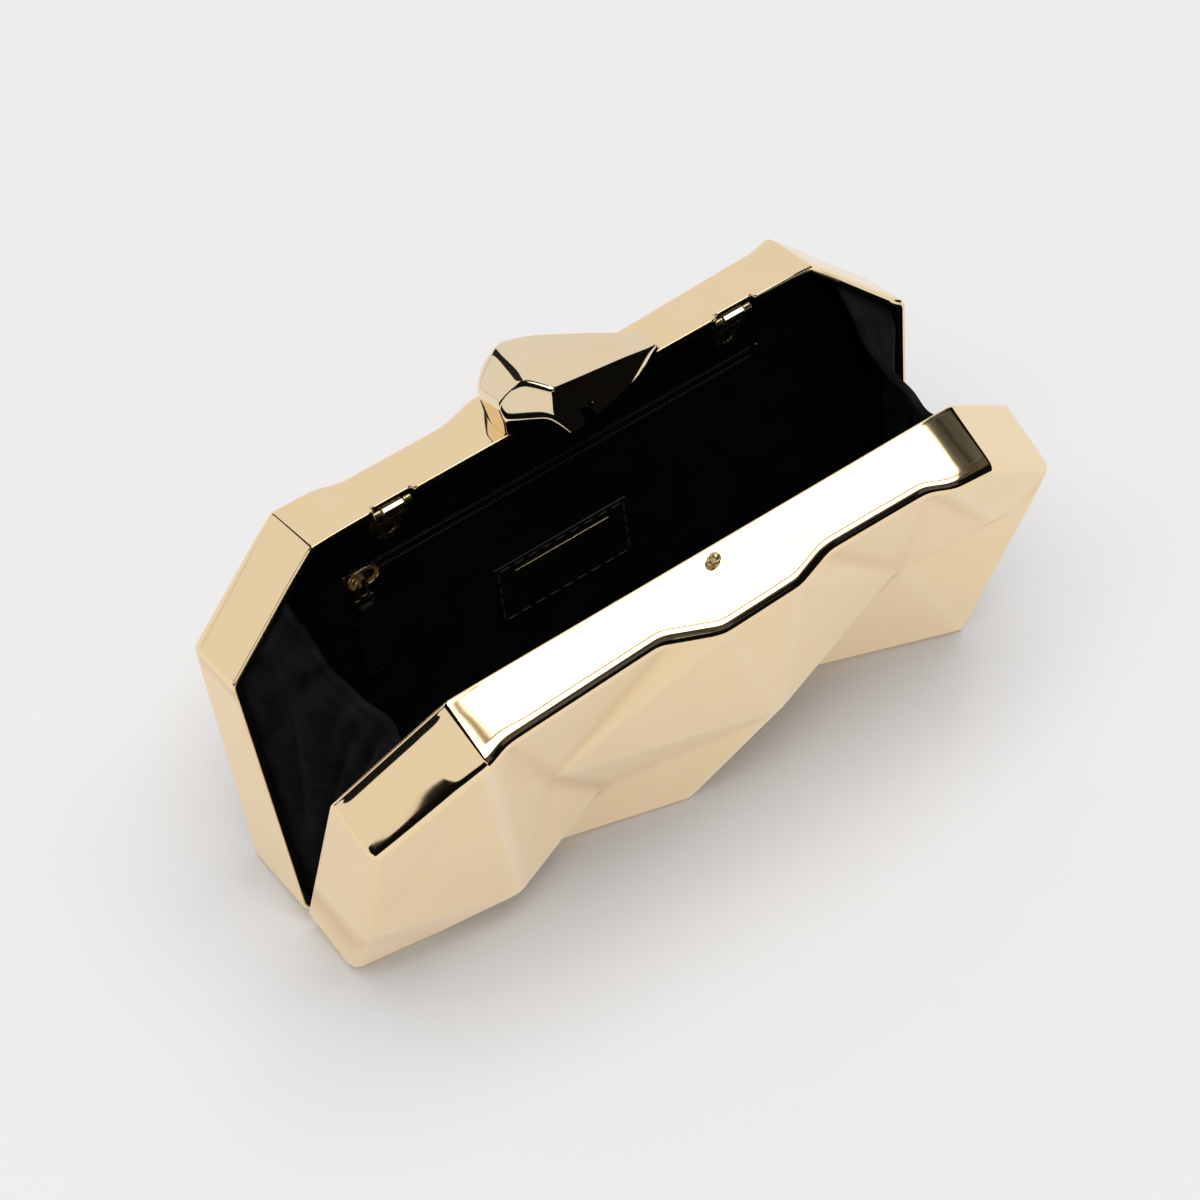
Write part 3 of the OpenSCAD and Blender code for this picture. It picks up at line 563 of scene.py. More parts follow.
# Corners of the face, seen from outside: round its edge, then inside it
FACE_POINTS = np.array([
    on_wall(0, 21.5), on_top(-78.5, 19.2), on_top(-25, 17.2), on_top(-8.5, 23.3), on_top(17.5, 22.5),
    on_top(29.5, 18.6), on_top(64, 18.8), on_top(71.5, 21.8), on_wall(1, 22.5), on_wall(2, 23),
    on_end(1, 82.5, 24.4), on_wall(3, FOOT_N), on_bottom(50, 11.5), on_bottom(4, FOOT_N),
    on_bottom(-50, 17), on_bottom(-84, 24.6), on_wall(4, 21.4), on_end(-1, 37, 23.5), on_wall(5, 20),
    (-62, PEAK_N, 22), (24, PEAK_N, 50.5), (-53, 19.7, 72), (-26, 20, 32), (70, 19.6, 72), (104, 24, 72),
])
FACETS = [
    (18, 0, 17), (0, 19, 17), (0, 1, 21), (0, 21, 19), (1, 2, 21), (21, 2, 3), (21, 3, 20), (21, 20, 22),
    (21, 22, 19), (19, 22, 14), (19, 15, 14), (17, 19, 15), (17, 15, 16), (3, 4, 20), (4, 5, 23),
    (4, 23, 20), (5, 6, 23), (6, 7, 24), (6, 24, 23), (7, 8, 24), (8, 9, 24), (9, 10, 24), (23, 24, 10),
    (23, 10, 11), (23, 11, 12), (23, 12, 20), (20, 12, 13), (22, 20, 13), (22, 14, 13),
]


class Face:
    """Height of the face over x and v, with its creases rounded."""
    step = 0.625
    margin = 8.0

    def __init__(self, soften):
        self.x0 = -SHELL_W / 2 - self.margin
        self.v0 = -self.margin
        xs = np.arange(self.x0, SHELL_W / 2 + self.margin, self.step)
        vs = np.arange(self.v0, SHELL_H + self.margin, self.step)
        gx, gv = np.meshgrid(xs, vs, indexing="ij")
        self.grid = self.blurred(self.facets(gx, gv), soften / self.step)

    @staticmethod
    def facets(gx, gv):
        """Each point takes the facet that it lies in, or the nearest one's plane."""
        best = np.full(gx.shape, -np.inf)
        height = np.zeros(gx.shape)
        for t in FACETS:
            (ax, an, av), (bx, bn, bv), (cx, cn, cv) = FACE_POINTS[list(t)]
            area = (bx - ax) * (cv - av) - (cx - ax) * (bv - av)
            wb = ((gx - ax) * (cv - av) - (cx - ax) * (gv - av)) / area
            wc = ((bx - ax) * (gv - av) - (gx - ax) * (bv - av)) / area
            least = np.minimum(np.minimum(wb, wc), 1 - wb - wc)
            here = least > best
            best = np.where(here, least, best)
            height = np.where(here, an + wb * (bn - an) + wc * (cn - an), height)
        return height

    @staticmethod
    def blurred(grid, sigma):
        reach = math.ceil(3 * sigma)
        weight = np.exp(-0.5 * (np.arange(-reach, reach + 1) / sigma) ** 2)
        weight /= weight.sum()
        for axis in (0, 1):
            pad = [(reach, reach) if a == axis else (0, 0) for a in (0, 1)]
            wide = np.pad(grid, pad, mode="edge")
            length = grid.shape[axis]
            grid = sum(w * np.take(wide, range(k, k + length), axis) for k, w in enumerate(weight))
        return grid

    def at(self, xv):
        fx = (xv[:, 0] - self.x0) / self.step
        fv = (xv[:, 1] - self.v0) / self.step
        i = np.clip(fx.astype(int), 0, self.grid.shape[0] - 2)
        j = np.clip(fv.astype(int), 0, self.grid.shape[1] - 2)
        a, b = fx - i, fv - j
        g = self.grid
        low = g[i, j] * (1 - a) + g[i + 1, j] * a
        high = g[i, j + 1] * (1 - a) + g[i + 1, j + 1] * a
        return low * (1 - b) + high * b


def inside(points, loop):
    """Which points lie inside a closed loop."""
    a, b = loop, np.roll(loop, -1, 0)
    found = np.zeros(len(points), bool)
    for (ax, av), (bx, bv) in zip(a, b):
        if av == bv:
            continue
        spans = (points[:, 1] > min(av, bv)) & (points[:, 1] <= max(av, bv))
        cross = ax + (points[:, 1] - av) * (bx - ax) / (bv - av)
        found ^= spans & (points[:, 0] < cross)
    return found


def filled(loop, smaller, pitch):
    """Points and triangles that fill a loop. smaller is a loop that the inner points keep to."""
    low, high = loop.min(0), loop.max(0)
    xs = np.arange(low[0] + pitch / 2, high[0], pitch)
    vs = np.arange(low[1] + pitch / 2, high[1], pitch)
    gx, gv = np.meshgrid(xs, vs, indexing="ij")
    spots = np.stack([gx.ravel(), gv.ravel()], 1)
    spots = spots[inside(spots, smaller)]
    count = len(loop)
    start = [Vector(p) for p in np.concatenate([loop, spots])]
    edges = [(k, (k + 1) % count) for k in range(count)]
    made = delaunay_2d_cdt(start, edges, [], 1, 1e-5)
    points = np.array([[p.x, p.y] for p in made[0]])
    first = [min(ids) if ids else -1 for ids in made[3]]
    return points, made[2], first


class Skin:
    """Collects rows of points round the shell and the faces between them."""

    def __init__(self):
        self.points = []
        self.satin = []
        self.faces = []
        self.last = None

    def row(self, xv, n, satin=0.0):
        """A closed row, joined to the row before it."""
        base = len(self.points)
        count = len(xv)
        n = np.broadcast_to(n, count)
        satin = np.broadcast_to(satin, count)
        self.points += [(x, d, v) for (x, v), d in zip(xv, n)]
        self.satin += list(satin)
        if self.last is not None:
            for k in range(count):
                j = (k + 1) % count
                self.faces.append((self.last + k, self.last + j, base + j, base + k))
        self.last = base

    def cap(self, loop, smaller, pitch, height, satin, flip=False):
        """Fills the last row with a grid that lies on the face."""
        points, triangles, first = filled(loop, smaller, pitch)
        count = len(loop)
        ids = []
        depth = height(points)
        for (x, v), d, f in zip(points, depth, first):
            if 0 <= f < count:
                ids.append(self.last + f)
            else:
                ids.append(len(self.points))
                self.points.append((x, d, v))
                self.satin.append(satin)
        for t in triangles:
            face = tuple(ids[k] for k in t)
            self.faces.append(face[::-1] if flip else face)


FACE_SOFT = 1.3
EDGE_R = 2.5
LEAD_TURN = 0.12
RIM_IN_R = 0.25
INNER_TOP_N = 8
HINGE_X, HINGE_L = 74, 30
LOOP_X, LOOP_W = 58.5, 12.4
HINGE_STEP_N = 2.2
LOOP_STEP_N = 1.5
# Room beside each hinge and each loop in the rim's steps
HINGE_ROOM, LOOP_ROOM = 0.3, 0.6
# The pitch of the points round the rim, and in the outer and the inner side's filling
RING_PITCH, OUTER_PITCH, INNER_PITCH = 1.5, 1.25, 3.5
# A ridge shows against the face's mean height on two rings round it. RIDGE_HEIGHT is a full one
RIDGE_RINGS = (1.5, 2.8)
RIDGE_HEIGHT = 0.33
# A wall's thickness measured along n, since its facets slope
SLOPED_WALL = WALL * 1.12


def rim_steps(side):
    """Distances along the top and bottom edges at which the rim steps."""
    half = HINGE_L / 2 + HINGE_ROOM
    low = [BOTTOM_W / 2 - s * HINGE_X - d for s in (1, -1) for d in (half, -half)]
    steps = {3: sorted(low)}
    if side == "back":
        half = LOOP_W / 2 + LOOP_ROOM
        steps[0] = sorted(TOP_W / 2 + s * LOOP_X + d for s in (1, -1) for d in (half, -half))
    return steps


def rim_depth(xv, side):
    """Depth of the rim: it steps back for the knuckles, and on the back for the loops."""
    n = np.full(len(xv), RIM_GAP)
    low = xv[:, 1] < 1
    high = xv[:, 1] > SHELL_H - 1
    x = np.abs(xv[:, 0])
    n[low & (np.abs(x - HINGE_X) < HINGE_L / 2 + HINGE_ROOM)] = HINGE_STEP_N
    if side == "back":
        n[high & (np.abs(x - LOOP_X) < LOOP_W / 2 + LOOP_ROOM)] = LOOP_STEP_N
    return n


def rim_rows(skin, ring, depth):
    """From inside the wall round the rounded rim to the outside."""
    skin.row(ring.at(WALL + DRAFT * INNER_TOP_N), INNER_TOP_N)
    skin.row(ring.at(WALL + 0.05), depth + ring.rim + 0.1)
    for a in (0, 0.35, 0.7, 1.0):
        turn = a * math.pi / 2
        skin.row(ring.at(WALL - RIM_IN_R * (1 - math.cos(turn))), depth + RIM_IN_R * (1 - math.sin(turn)))
    slope = 2 * ring.bow / RIM_LEAD_L
    for a in (0, 0.16, 0.32, 0.48, 0.66, 0.83, 1.0):
        turn = a * (math.pi / 2 - slope)
        w = ring.bow + ring.rim * (np.cos(slope) - np.sin(turn))
        skin.row(ring.at(w), depth + ring.rim * (1 - np.cos(turn)), ring.satin)
    return depth + ring.rim * (1 - np.sin(slope))


def wall_rows(skin, ring, foot, top):
    """Up the drafted wall, which leans in a little before its edge starts to round."""
    start = top - ring.lead
    for a in (0.1, 0.3, 0.5, 0.75, 1.0):
        n = foot + RIM_LEAD_L * a
        skin.row(ring.at(DRAFT * n + ring.bow * (1 - a) ** 2), n, ring.satin)
    for a in (0.35, 0.7, 1.0):
        n = foot + RIM_LEAD_L + (start - foot - RIM_LEAD_L) * a
        skin.row(ring.at(DRAFT * n), n, ring.satin)
    for a in (0.2, 0.4, 0.6, 0.8, 1.0):
        n = start + ring.lead * a
        skin.row(ring.at(DRAFT * n + ring.lead * math.tan(LEAD_TURN) / 2 * a * a), n, ring.satin)


def edge_rows(skin, ring, face, inset):
    """Round the edge between the wall and the face."""
    for k in range(1, 12):
        turn = LEAD_TURN + k / 11 * (math.pi / 2 - LEAD_TURN)
        w = inset + EDGE_R * (math.cos(LEAD_TURN) - math.cos(turn))
        xv = ring.at(w)
        satin = np.maximum(ring.satin, np.clip((turn - 0.8) / 0.6, 0, 1))
        skin.row(xv, face.at(xv) - EDGE_R * (1 - math.sin(turn)), satin)
    return ring.at(inset + EDGE_R * math.cos(LEAD_TURN))


def ridges(points, satin, face):
    """1 on the ridges between facets, -1 in the valleys, and 0 on flat metal. The shell's finish paints a
    highlight on the ridges and shade in the valleys from it.
    """
    xv = np.array(points)[:, [0, 2]]
    turns = np.radians(np.arange(0, 360, 30))
    near = [(r * math.cos(t), r * math.sin(t)) for r in RIDGE_RINGS for t in turns]
    around = sum(face.at(xv + np.array(step)) for step in near) / len(near)
    raised = (face.at(xv) - around) / RIDGE_HEIGHT
    return np.clip(raised, -1, 1) * (np.array(satin) > 0.98)


def shell(side):
    """One moulding with its rim, walls, rounded edges, face and inside."""
    face = Face(FACE_SOFT)
    ring = Perimeter(RING_PITCH, rim_steps(side))
    flat = ring.at(0)
    depth = rim_depth(flat, side)
    skin = Skin()
    foot = rim_rows(skin, ring, depth)
    # The draft's inset depends on the face's height where it ends, and settles in a few rounds
    inset = np.full(len(flat), DRAFT * 22)
    for _ in range(4):
        inset = DRAFT * face.at(ring.at(inset))
    top = face.at(ring.at(inset)) - EDGE_R * (1 - math.sin(LEAD_TURN))
    wall_rows(skin, ring, foot, top)
    rolled = inset + ring.lead * math.tan(LEAD_TURN) / 2
    loop = edge_rows(skin, ring, face, rolled)
    skin.cap(loop, ring.at(rolled + EDGE_R + 0.9), OUTER_PITCH, face.at, 1.0)
    inner_skin(skin, ring, face, inset)
    # The face is listed from left to right as seen from outside
    points = [(-x, n, v) for x, n, v in skin.points]
    obj = piece(side + "_shell_moulding", place(points, side), skin.faces, SHELL)
    paint(obj, "satin", skin.satin)
    # The ridge values give the shell's painted highlight and painted shade
    paint(obj, "ridge", ridges(skin.points, skin.satin, face))
    tidy_mesh(obj)
    modifier(obj, "WEIGHTED_NORMAL", keep_sharp=True, weight=50)
    dress(obj, side + "_half", "shell_gold", side + "_shell")


def inner_skin(skin, ring, face, inset):
    """The hollow side, a wall's thickness inside the face."""
    skin.last = 0
    xv = ring.at(WALL + inset)
    skin.row(xv, face.at(xv) - SLOPED_WALL)
    skin.cap(xv, ring.at(WALL + inset + 1.5), INNER_PITCH, lambda p: face.at(p) - SLOPED_WALL, 0.0, True)


def paint(obj, name, values):
    layer = obj.data.attributes.new(name, "FLOAT", "POINT")
    layer.data.foreach_set("value", [float(v) for v in values])


def tidy_mesh(obj):
    """Faces all turned outwards."""
    work = bmesh.new()
    work.from_mesh(obj.data)
    bmesh.ops.recalc_face_normals(work, faces=work.faces)
    work.to_mesh(obj.data)
    work.free()


def cloth(name, points, rows, finish_, thickness):
    """A sheet of even thickness through rows of points, in metres."""
    obj = piece(name, points, grid_faces(rows, len(points) // rows), finish_)
    tidy_mesh(obj)
    modifier(obj, "SOLIDIFY", thickness=thickness * MM, offset=0)
    return obj


# Fittings from the CAD shapes

def softened(node, width, finish_, segments=3):
    """A copy of a CAD node with its sharp edges rounded."""
    work = bmesh.new()
    work.from_mesh(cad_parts[node].data)
    bmesh.ops.remove_doubles(work, verts=work.verts, dist=1e-6)
    bmesh.ops.dissolve_limit(work, angle_limit=math.radians(0.5), verts=work.verts, edges=work.edges)
    mesh = bpy.data.meshes.new(node + "_made")
    work.to_mesh(mesh)
    work.free()
    mesh.materials.clear()
    mesh.materials.append(finish_)
    for polygon in mesh.polygons:
        polygon.use_smooth = True
        polygon.material_index = 0
    obj = bpy.data.objects.new(node + "_made", mesh)
    bpy.context.scene.collection.objects.link(obj)
    modifier(obj, "BEVEL", width=width * MM, segments=segments, limit_method="ANGLE",
             angle_limit=math.radians(40), use_clamp_overlap=True, harden_normals=False)
    modifier(obj, "WEIGHTED_NORMAL", keep_sharp=True, weight=50)
    return obj


def fitting(node, body, width, finish_=BRASS):
    dress(softened(node, width, finish_), body, "hardware_gold", node)


def give(finish_, *nodes):
    """A better finish for CAD nodes whose shape stays."""
    for node in nodes:
        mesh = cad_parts[node].data
        for k in range(len(mesh.materials)):
            mesh.materials[k] = finish_
        if not mesh.materials:
            mesh.materials.append(finish_)


def settle(obj):
    """Works the object's modifiers into its mesh."""
    bpy.context.view_layer.update()
    graph = bpy.context.evaluated_depsgraph_get()
    mesh = bpy.data.meshes.new_from_object(obj.evaluated_get(graph))
    obj.modifiers.clear()
    obj.data = mesh


def tube(path, radius, sides, closed):
    """Points and faces of a round strand along a path. Its frame turns as little as it can."""
    path = np.asarray(path, float)
    count = len(path)
    if closed:
        ahead = np.roll(path, -1, 0) - np.roll(path, 1, 0)
    else:
        ahead = np.gradient(path, axis=0)
    ahead /= np.linalg.norm(ahead, axis=1)[:, None]
    side = np.cross(ahead[0], (0.123, 0.456, 0.881))
    points = []
    for p, t in zip(path, ahead):
        side = side - t * (side @ t)
        side /= np.linalg.norm(side)
        up = np.cross(t, side)
        for k in range(sides):
            a = math.tau * k / sides
            points.append(p + radius * (math.cos(a) * side + math.sin(a) * up))
    faces = grid_faces(count, sides, closed, True)
    if not closed:
        faces += end_caps(count, sides)
    return np.array(points), faces


def strands(name, paths, radius, finish_, sides, closed=False):
    """One piece of many round strands, given as paths of shell points."""
    points, faces = [], []
    for path in paths:
        p, f = tube(path, radius, sides, closed)
        faces += [tuple(i + len(points) for i in face) for face in f]
        points += list(p)
    return piece(name, place(points), faces, finish_)


def stitch_paths(route, pitch, length, dip, out):
    """Short bowed stitches along a route of shell points. out is the way out of the surface."""
    route = np.asarray(route, float)
    out = np.asarray(out, float)
    paths = []
    for a, b in zip(route, route[1:]):
        run = np.linalg.norm(b - a)
        count = max(1, round(run / pitch))
        step = (b - a) / count
        along = step / np.linalg.norm(step)
        for k in range(count):
            middle = a + step * (k + 0.5)
            paths.append([middle + along * length * t + out * dip * (1 - (2 * t) ** 2 * 2.2)
                          for t in (-0.5, -0.4, -0.2, 0, 0.2, 0.4, 0.5)])
    return paths


# The barrel's middle in the shell frame, as the part's source places it
LOOP_BARREL_R = 1.5
LOOP_PLAY = 0.1
LOOP_BRACKET_N, LOOP_BRACKET_T = 8, 0.7
LOOP_PIN_N = LOOP_BARREL_R + 1.2
LOOP_PIN_V = SHELL_H - WALL - DRAFT * LOOP_BRACKET_N - LOOP_BRACKET_T - LOOP_BARREL_R - LOOP_PLAY
# The knuckle: half its thickness, its length, the radius of its four corners and its turn
LOOP_ROLL = 1.75
LOOP_ROLL_L = 7
LOOP_ROLL_CORNER = 0.7
LOOP_ROLL_TILT = math.radians(28.75)
# Its end rings: how far each lies from the end, and its share of the full size
LOOP_ROLL_ENDS = [(0, 0.9), (0.15, 1), (0.3, 1)]


def loop_knuckle(side):
    """The bracket's rolled knuckle, pressed flat on its four sides, round the barrel in the CAD."""
    way = -1 if side == "left" else 1
    inner = (LOOP_ROLL - LOOP_ROLL_CORNER) * math.sqrt(2)
    c, d = math.cos(LOOP_ROLL_TILT), math.sin(LOOP_ROLL_TILT)
    ring = []
    for quarter in range(4):
        turn = math.radians(90 * quarter + 45)
        for k in range(6):
            a = math.radians(90 * quarter + 18 * k)
            u = inner * math.cos(turn) + LOOP_ROLL_CORNER * math.cos(a)
            w = inner * math.sin(turn) + LOOP_ROLL_CORNER * math.sin(a)
            ring.append((u * c - w * d, u * d + w * c))
    rounds = [(back - LOOP_ROLL_L / 2, size) for back, size in LOOP_ROLL_ENDS]
    rounds += [(-x, size) for x, size in rounds[::-1]]
    points = [(way * LOOP_X + x, LOOP_PIN_N + u * size, LOOP_PIN_V + w * size)
              for x, size in rounds for u, w in ring]
    faces = grid_faces(len(rounds), len(ring), False, True) + end_caps(len(rounds), len(ring))
    obj = piece(side + "_loop_knuckle", place(points), faces, POLISHED)
    obj.data.set_sharp_from_angle(angle=math.radians(50))
    modifier(obj, "WEIGHTED_NORMAL", keep_sharp=True, weight=80)
    dress(obj, "back_half", "hardware_gold")


SHANK_DEPTH = 0.3


def knob_screws():
    """The knob's screws, seen only from below: their shanks end SHANK_DEPTH under the wall's top."""
    obj = softened("knob_screws", 0.05, BRASS)
    obj.modifiers.clear()
    for vertex in obj.data.vertices:
        x, y, z = vertex.co / MM
        n = y * math.cos(LEAN) - (z - HINGE_Z) * math.sin(LEAN)
        v = y * math.sin(LEAN) + (z - HINGE_Z) * math.cos(LEAN)
        v = min(v, SHELL_H - DRAFT * n - SHANK_DEPTH)
        vertex.co = place((x, n, v))
    dress(obj, "back_half", "hardware_gold", "knob_screws")


def fittings():
    for side in ("left", "right"):
        fitting(side + "_loop_tab", side + "_loop", 0.3)
        fitting(side + "_loop_bracket", "back_half", 0.15, POLISHED)
        loop_knuckle(side)
        hinge = side + "_hinge_"
        give(BRASS, side + "_loop_pin", hinge + "pin", hinge + "back_leaf", hinge + "front_leaf")
    fitting("zipper_slider", "slider", 0.16)
    fitting("pull_link", "link", 0.22)
    fitting("zipper_stops", "back_half", 0.14)
    knob_screws()
    give(BRASS, "loop_rivets", "hinge_back_rivets", "hinge_front_rivets", "catch_spring", "ball_stud_nut",
         "ball_stud")


# The knob

# How softly the facets run into each other, in mm
KNOB_SOFT = 0.33
KNOB_ROUNDS = 12
# The ball that is spread onto the knob: its middle, and its half sizes
KNOB_MIDDLE = (-3, 6, 7.7)
KNOB_SPREAD = (27, 17, 9)
KNOB_LIFT = 0.45
SEAT = 0.05
BALL_D, BALL_N, BALL_GAP, BALL_H = 3.3, 4.5, 0.35, 2.4
SPRING_L, SPRING_ROOM, SPRING_W = 9, 1.2, 3
KNOB_OVERHANG = 12.4
KNOB_FOOT = -1.4
# Corners are (x, n, height above the top wall)
KNOB_BASE = [
    (-20.8, 1.2, KNOB_FOOT), (-21.1, 4, KNOB_FOOT), (-20, 11.5, KNOB_FOOT), (-18.3, 15.6, KNOB_FOOT),
    (-13.5, 19.6, KNOB_FOOT), (-6, 20.8, KNOB_FOOT), (2, 18, KNOB_FOOT), (20, 11.4, KNOB_FOOT),
    (32, 7.4, KNOB_FOOT), (33.2, 1.2, KNOB_FOOT), (26, -2.8, KNOB_FOOT), (11, -9.5, KNOB_FOOT),
    (1.8, -11.6, KNOB_FOOT), (-6.3, -12.8, KNOB_FOOT),
]
KNOB_CROWN = [
    (-21, 0.2, 5.3), (-11.3, -8, 7), (-8.9, -6.2, 12.5), (-12.9, 0.2, 15.2), (-17.1, 1.8, 13.1),
    (-19.7, 2.3, 10.4), (-20.7, 2, 8.7), (-17, 4.4, 12.6), (-20.1, 14.6, 8), (-15, 19.2, 9.9),
    (-11, 19.8, 12.6), (-10.5, 17.5, 14), (-6.5, 21, 13.4), (-7.6, -6.3, 13.4), (-6, 6.3, 15.4),
    (0.8, 16.8, 14), (9.6, 14.3, 11), (14, 2.5, 9.2), (20, 10.4, 7.9), (31.5, 7, 3), (31.2, -0.2, 3),
]


def knob_planes():
    """Which way each facet faces, and how far it lies from the knob's middle."""
    work = bmesh.new()
    for corner_ in KNOB_BASE + KNOB_CROWN:
        work.verts.new(corner_)
    bmesh.ops.convex_hull(work, input=work.verts)
    bmesh.ops.dissolve_limit(work, angle_limit=math.radians(1), verts=work.verts, edges=work.edges)
    work.normal_update()
    ways = np.array([face.normal[:] for face in work.faces])
    spots = np.array([face.verts[0].co[:] for face in work.faces])
    work.free()
    reach = ((spots - KNOB_MIDDLE) * ways).sum(1)
    turn = np.where(reach < 0, -1, 1)
    return ways * turn[:, None], reach * turn


def knob_body():
    """The faceted lump: its facets blend, the more softly the flatter they meet. Each round moves the
    points nearer to where the softened largest of all the planes' heights is zero."""
    ball = bmesh.new()
    bmesh.ops.create_icosphere(ball, subdivisions=7, radius=1)
    spread = np.array([v.co[:] for v in ball.verts]) * KNOB_SPREAD
    spread /= np.linalg.norm(spread, axis=1)[:, None]
    faces = [[v.index for v in face.verts] for face in ball.faces]
    ball.free()
    ways, reach = knob_planes()
    slant = spread @ ways.T
    far = np.where(slant > 1e-6, reach / np.maximum(slant, 1e-6), 1e9).min(1)
    for _ in range(KNOB_ROUNDS):
        rise = (far[:, None] * slant - reach) / KNOB_SOFT
        top = rise.max(1)
        share = np.exp(rise - top[:, None])
        total = share.sum(1)
        far -= KNOB_SOFT * (top + np.log(total)) / ((share * slant).sum(1) / total)
    points = KNOB_MIDDLE + spread * far[:, None] + (0, 0, SHELL_H)
    return piece("clasp_knob_made", place(points), faces, KNOB)


def block(low, high, tilt=0.0):
    """A cutter between two corners in the shell frame. tilt is how much it falls for each mm of n."""
    sides = list(zip(low, high))
    corners = [(x, n, v - tilt * n) for x in sides[0] for n in sides[1] for v in sides[2]]
    faces = [(0, 1, 3, 2), (4, 6, 7, 5), (0, 4, 5, 1), (2, 3, 7, 6), (0, 2, 6, 4), (1, 5, 7, 3)]
    obj = piece("cutter", place(corners), faces, KNOB, False)
    tidy_mesh(obj)
    return obj


def knob():
    """The gem-cut clasp knob, cut to sit over both top walls and to take the ball and its spring."""
    obj = knob_body()
    tidy_mesh(obj)
    wide = BALL_D + 2 * BALL_GAP
    room = BALL_D / 2 + SPRING_ROOM
    # The first two cut the foot along the back's top wall and over the front's, and the others cut
    # the room for the ball and for the spring
    cutters = [
        block((-60, -0.5, SHELL_H - 12), (60, 40, SHELL_H + SEAT), DRAFT),
        block((-60, -26, SHELL_H - 12), (60, 1, SHELL_H + KNOB_LIFT)),
        block((-wide / 2, -KNOB_OVERHANG - 1, SHELL_H - 1),
              (wide / 2, -BALL_N + wide / 2, SHELL_H + BALL_H + wide / 2)),
        block((-room, -BALL_N - SPRING_L / 2, SHELL_H - 1.5),
              (room, -BALL_N + SPRING_L / 2, SHELL_H + BALL_H + SPRING_W / 2 + 0.6)),
    ]
    for cutter in cutters:
        modifier(obj, "BOOLEAN", object=cutter, operation="DIFFERENCE", solver="MANIFOLD")
        settle(obj)
        bpy.data.objects.remove(cutter)
    obj.data.polygons.foreach_set("use_smooth", [True] * len(obj.data.polygons))
    obj.data.set_sharp_from_angle(angle=math.radians(35))
    modifier(obj, "WEIGHTED_NORMAL", keep_sharp=True, weight=80)
    dress(obj, "back_half", "knob_gold", "clasp_knob")


# Linings

def linings():
    for side in ("back", "front"):
        obj = softened(side + "_lining", 0.4, VELVET)
        dress(obj, side + "_half", "lining_velvet", side + "_lining")


# Gussets

LINING_INSET = WALL + 0.3
LINING_T = 1.0
GUSSET_T = 0.9
GUSSET_SEAT = 0.3
GUSSET_FOOT_V = 7
GUSSET_TOP_V = 112
GUSSET_EDGE_N = 3
HEM_R = 0.9
# How the top edge hangs: its lowest point (x, z), the shape of its bow in x and in z,
# and how far its lowest point lies toward the front
GUSSET_HANG = {"left": (88, 95, 1.6, 4.4, 0.36), "right": (95.5, 98, 1.5, 3.0, 0.22)}
# Broad waves in the cloth: height, waves from front to back, waves up the end, and start
BROAD_WAVES = [(0.55, 1.15, 0.45, 0.5), (0.4, 2.1, -0.5, 1.9)]
# How far the broad and the narrow waves stand out, and the broad ones at the hem
BROAD_FOLD, NARROW_FOLD, HEM_FOLD = 4.6, 1.7, 0.6
# How far round the hem is rolled
HEM_TURN = math.radians(230)


def gusset_edge_x(v):
    """How far from the middle the sheet's edge lies at height v."""
    reach = LINING_INSET + LINING_T + GUSSET_SEAT + DRAFT * GUSSET_EDGE_N + GUSSET_T / 2
    shoulder = SHELL_H - SHOULDER_DROP
    side_x = BOTTOM_W / 2 + (SHELL_W - BOTTOM_W) / 2 * v / shoulder
    slant = (SHELL_W - TOP_W) / 2 / SHOULDER_DROP
    shoulder_x = SHELL_W / 2 - (v - shoulder) * slant
    return min(side_x - reach, shoulder_x - reach * math.hypot(1, slant))


def gusset_point(a, b, side):
    """Point of the sheet: a runs 0 to 1 up the end, b runs -1 to 1 from front to back."""
    v = GUSSET_FOOT_V + a * (GUSSET_TOP_V - GUSSET_FOOT_V)
    edge_x = gusset_edge_x(v)
    edge_z = v * math.cos(LEAN) - GUSSET_EDGE_N * math.sin(LEAN) + HINGE_Z
    top_z = GUSSET_TOP_V * math.cos(LEAN) - GUSSET_EDGE_N * math.sin(LEAN) + HINGE_Z
    low_x, low_z, bow_x, bow_z, skew = GUSSET_HANG[side]
    across = b + skew * (1 - b * b) * a
    foot_x = gusset_edge_x(GUSSET_FOOT_V) - 1.5
    slack_x = foot_x + (low_x - foot_x) * a ** 1.5
    hang = 1 - abs(across) ** (2.6 + (bow_x - 2.6) * a)
    drop = (top_z - low_z) * a ** 3 * (1 - abs(across) ** bow_z)
    loose = min(1, max(0, 3 * (1 - b * b) - 0.35))
    seed = 0.0 if side == "left" else 1.7
    broad = sum(height * math.sin(math.tau * (level * b + rise * a) + start + seed)
                for height, level, rise, start in BROAD_WAVES)
    narrow = math.sin(math.tau * (3.3 * b + 0.5 * a) + seed + 1.1 * math.sin(3 * b))
    below = a * (1 - a ** 6)
    fold = BROAD_FOLD * broad * below + NARROW_FOLD * narrow * below * a + HEM_FOLD * broad * a ** 6
    x = edge_x + (slack_x - edge_x) * hang - fold * loose
    y = b * (v * math.sin(LEAN) + GUSSET_EDGE_N * math.cos(LEAN))
    y += 0.9 * math.sin(math.tau * 1.7 * b + 4 * a + seed) * loose * below
    z = edge_z - drop + 0.35 * math.sin(math.tau * 1.6 * b + seed) * loose * a ** 6
    return np.array([x, y, z])


def gusset(side):
    """Gathered velvet that closes one end, with a rolled hem along its top edge."""
    rows, cols, hem = 60, 140, 7
    turn = -1 if side == "left" else 1
    points = []
    for r in range(rows + hem + 1):
        for c in range(cols + 1):
            x, y, z = gusset_point(min(1, r / rows), 2 * c / cols - 1, side)
            if r > rows:
                roll = HEM_TURN * (r - rows) / hem
                x += HEM_R * (1 - math.cos(roll))
                z += HEM_R * math.sin(roll)
            points.append((turn * x * MM, y * MM, z * MM))
    obj = cloth(side + "_gusset_cloth", points, rows + hem + 1, GUSSET, GUSSET_T)
    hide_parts(side + "_gusset")
    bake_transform(obj)


# The zip

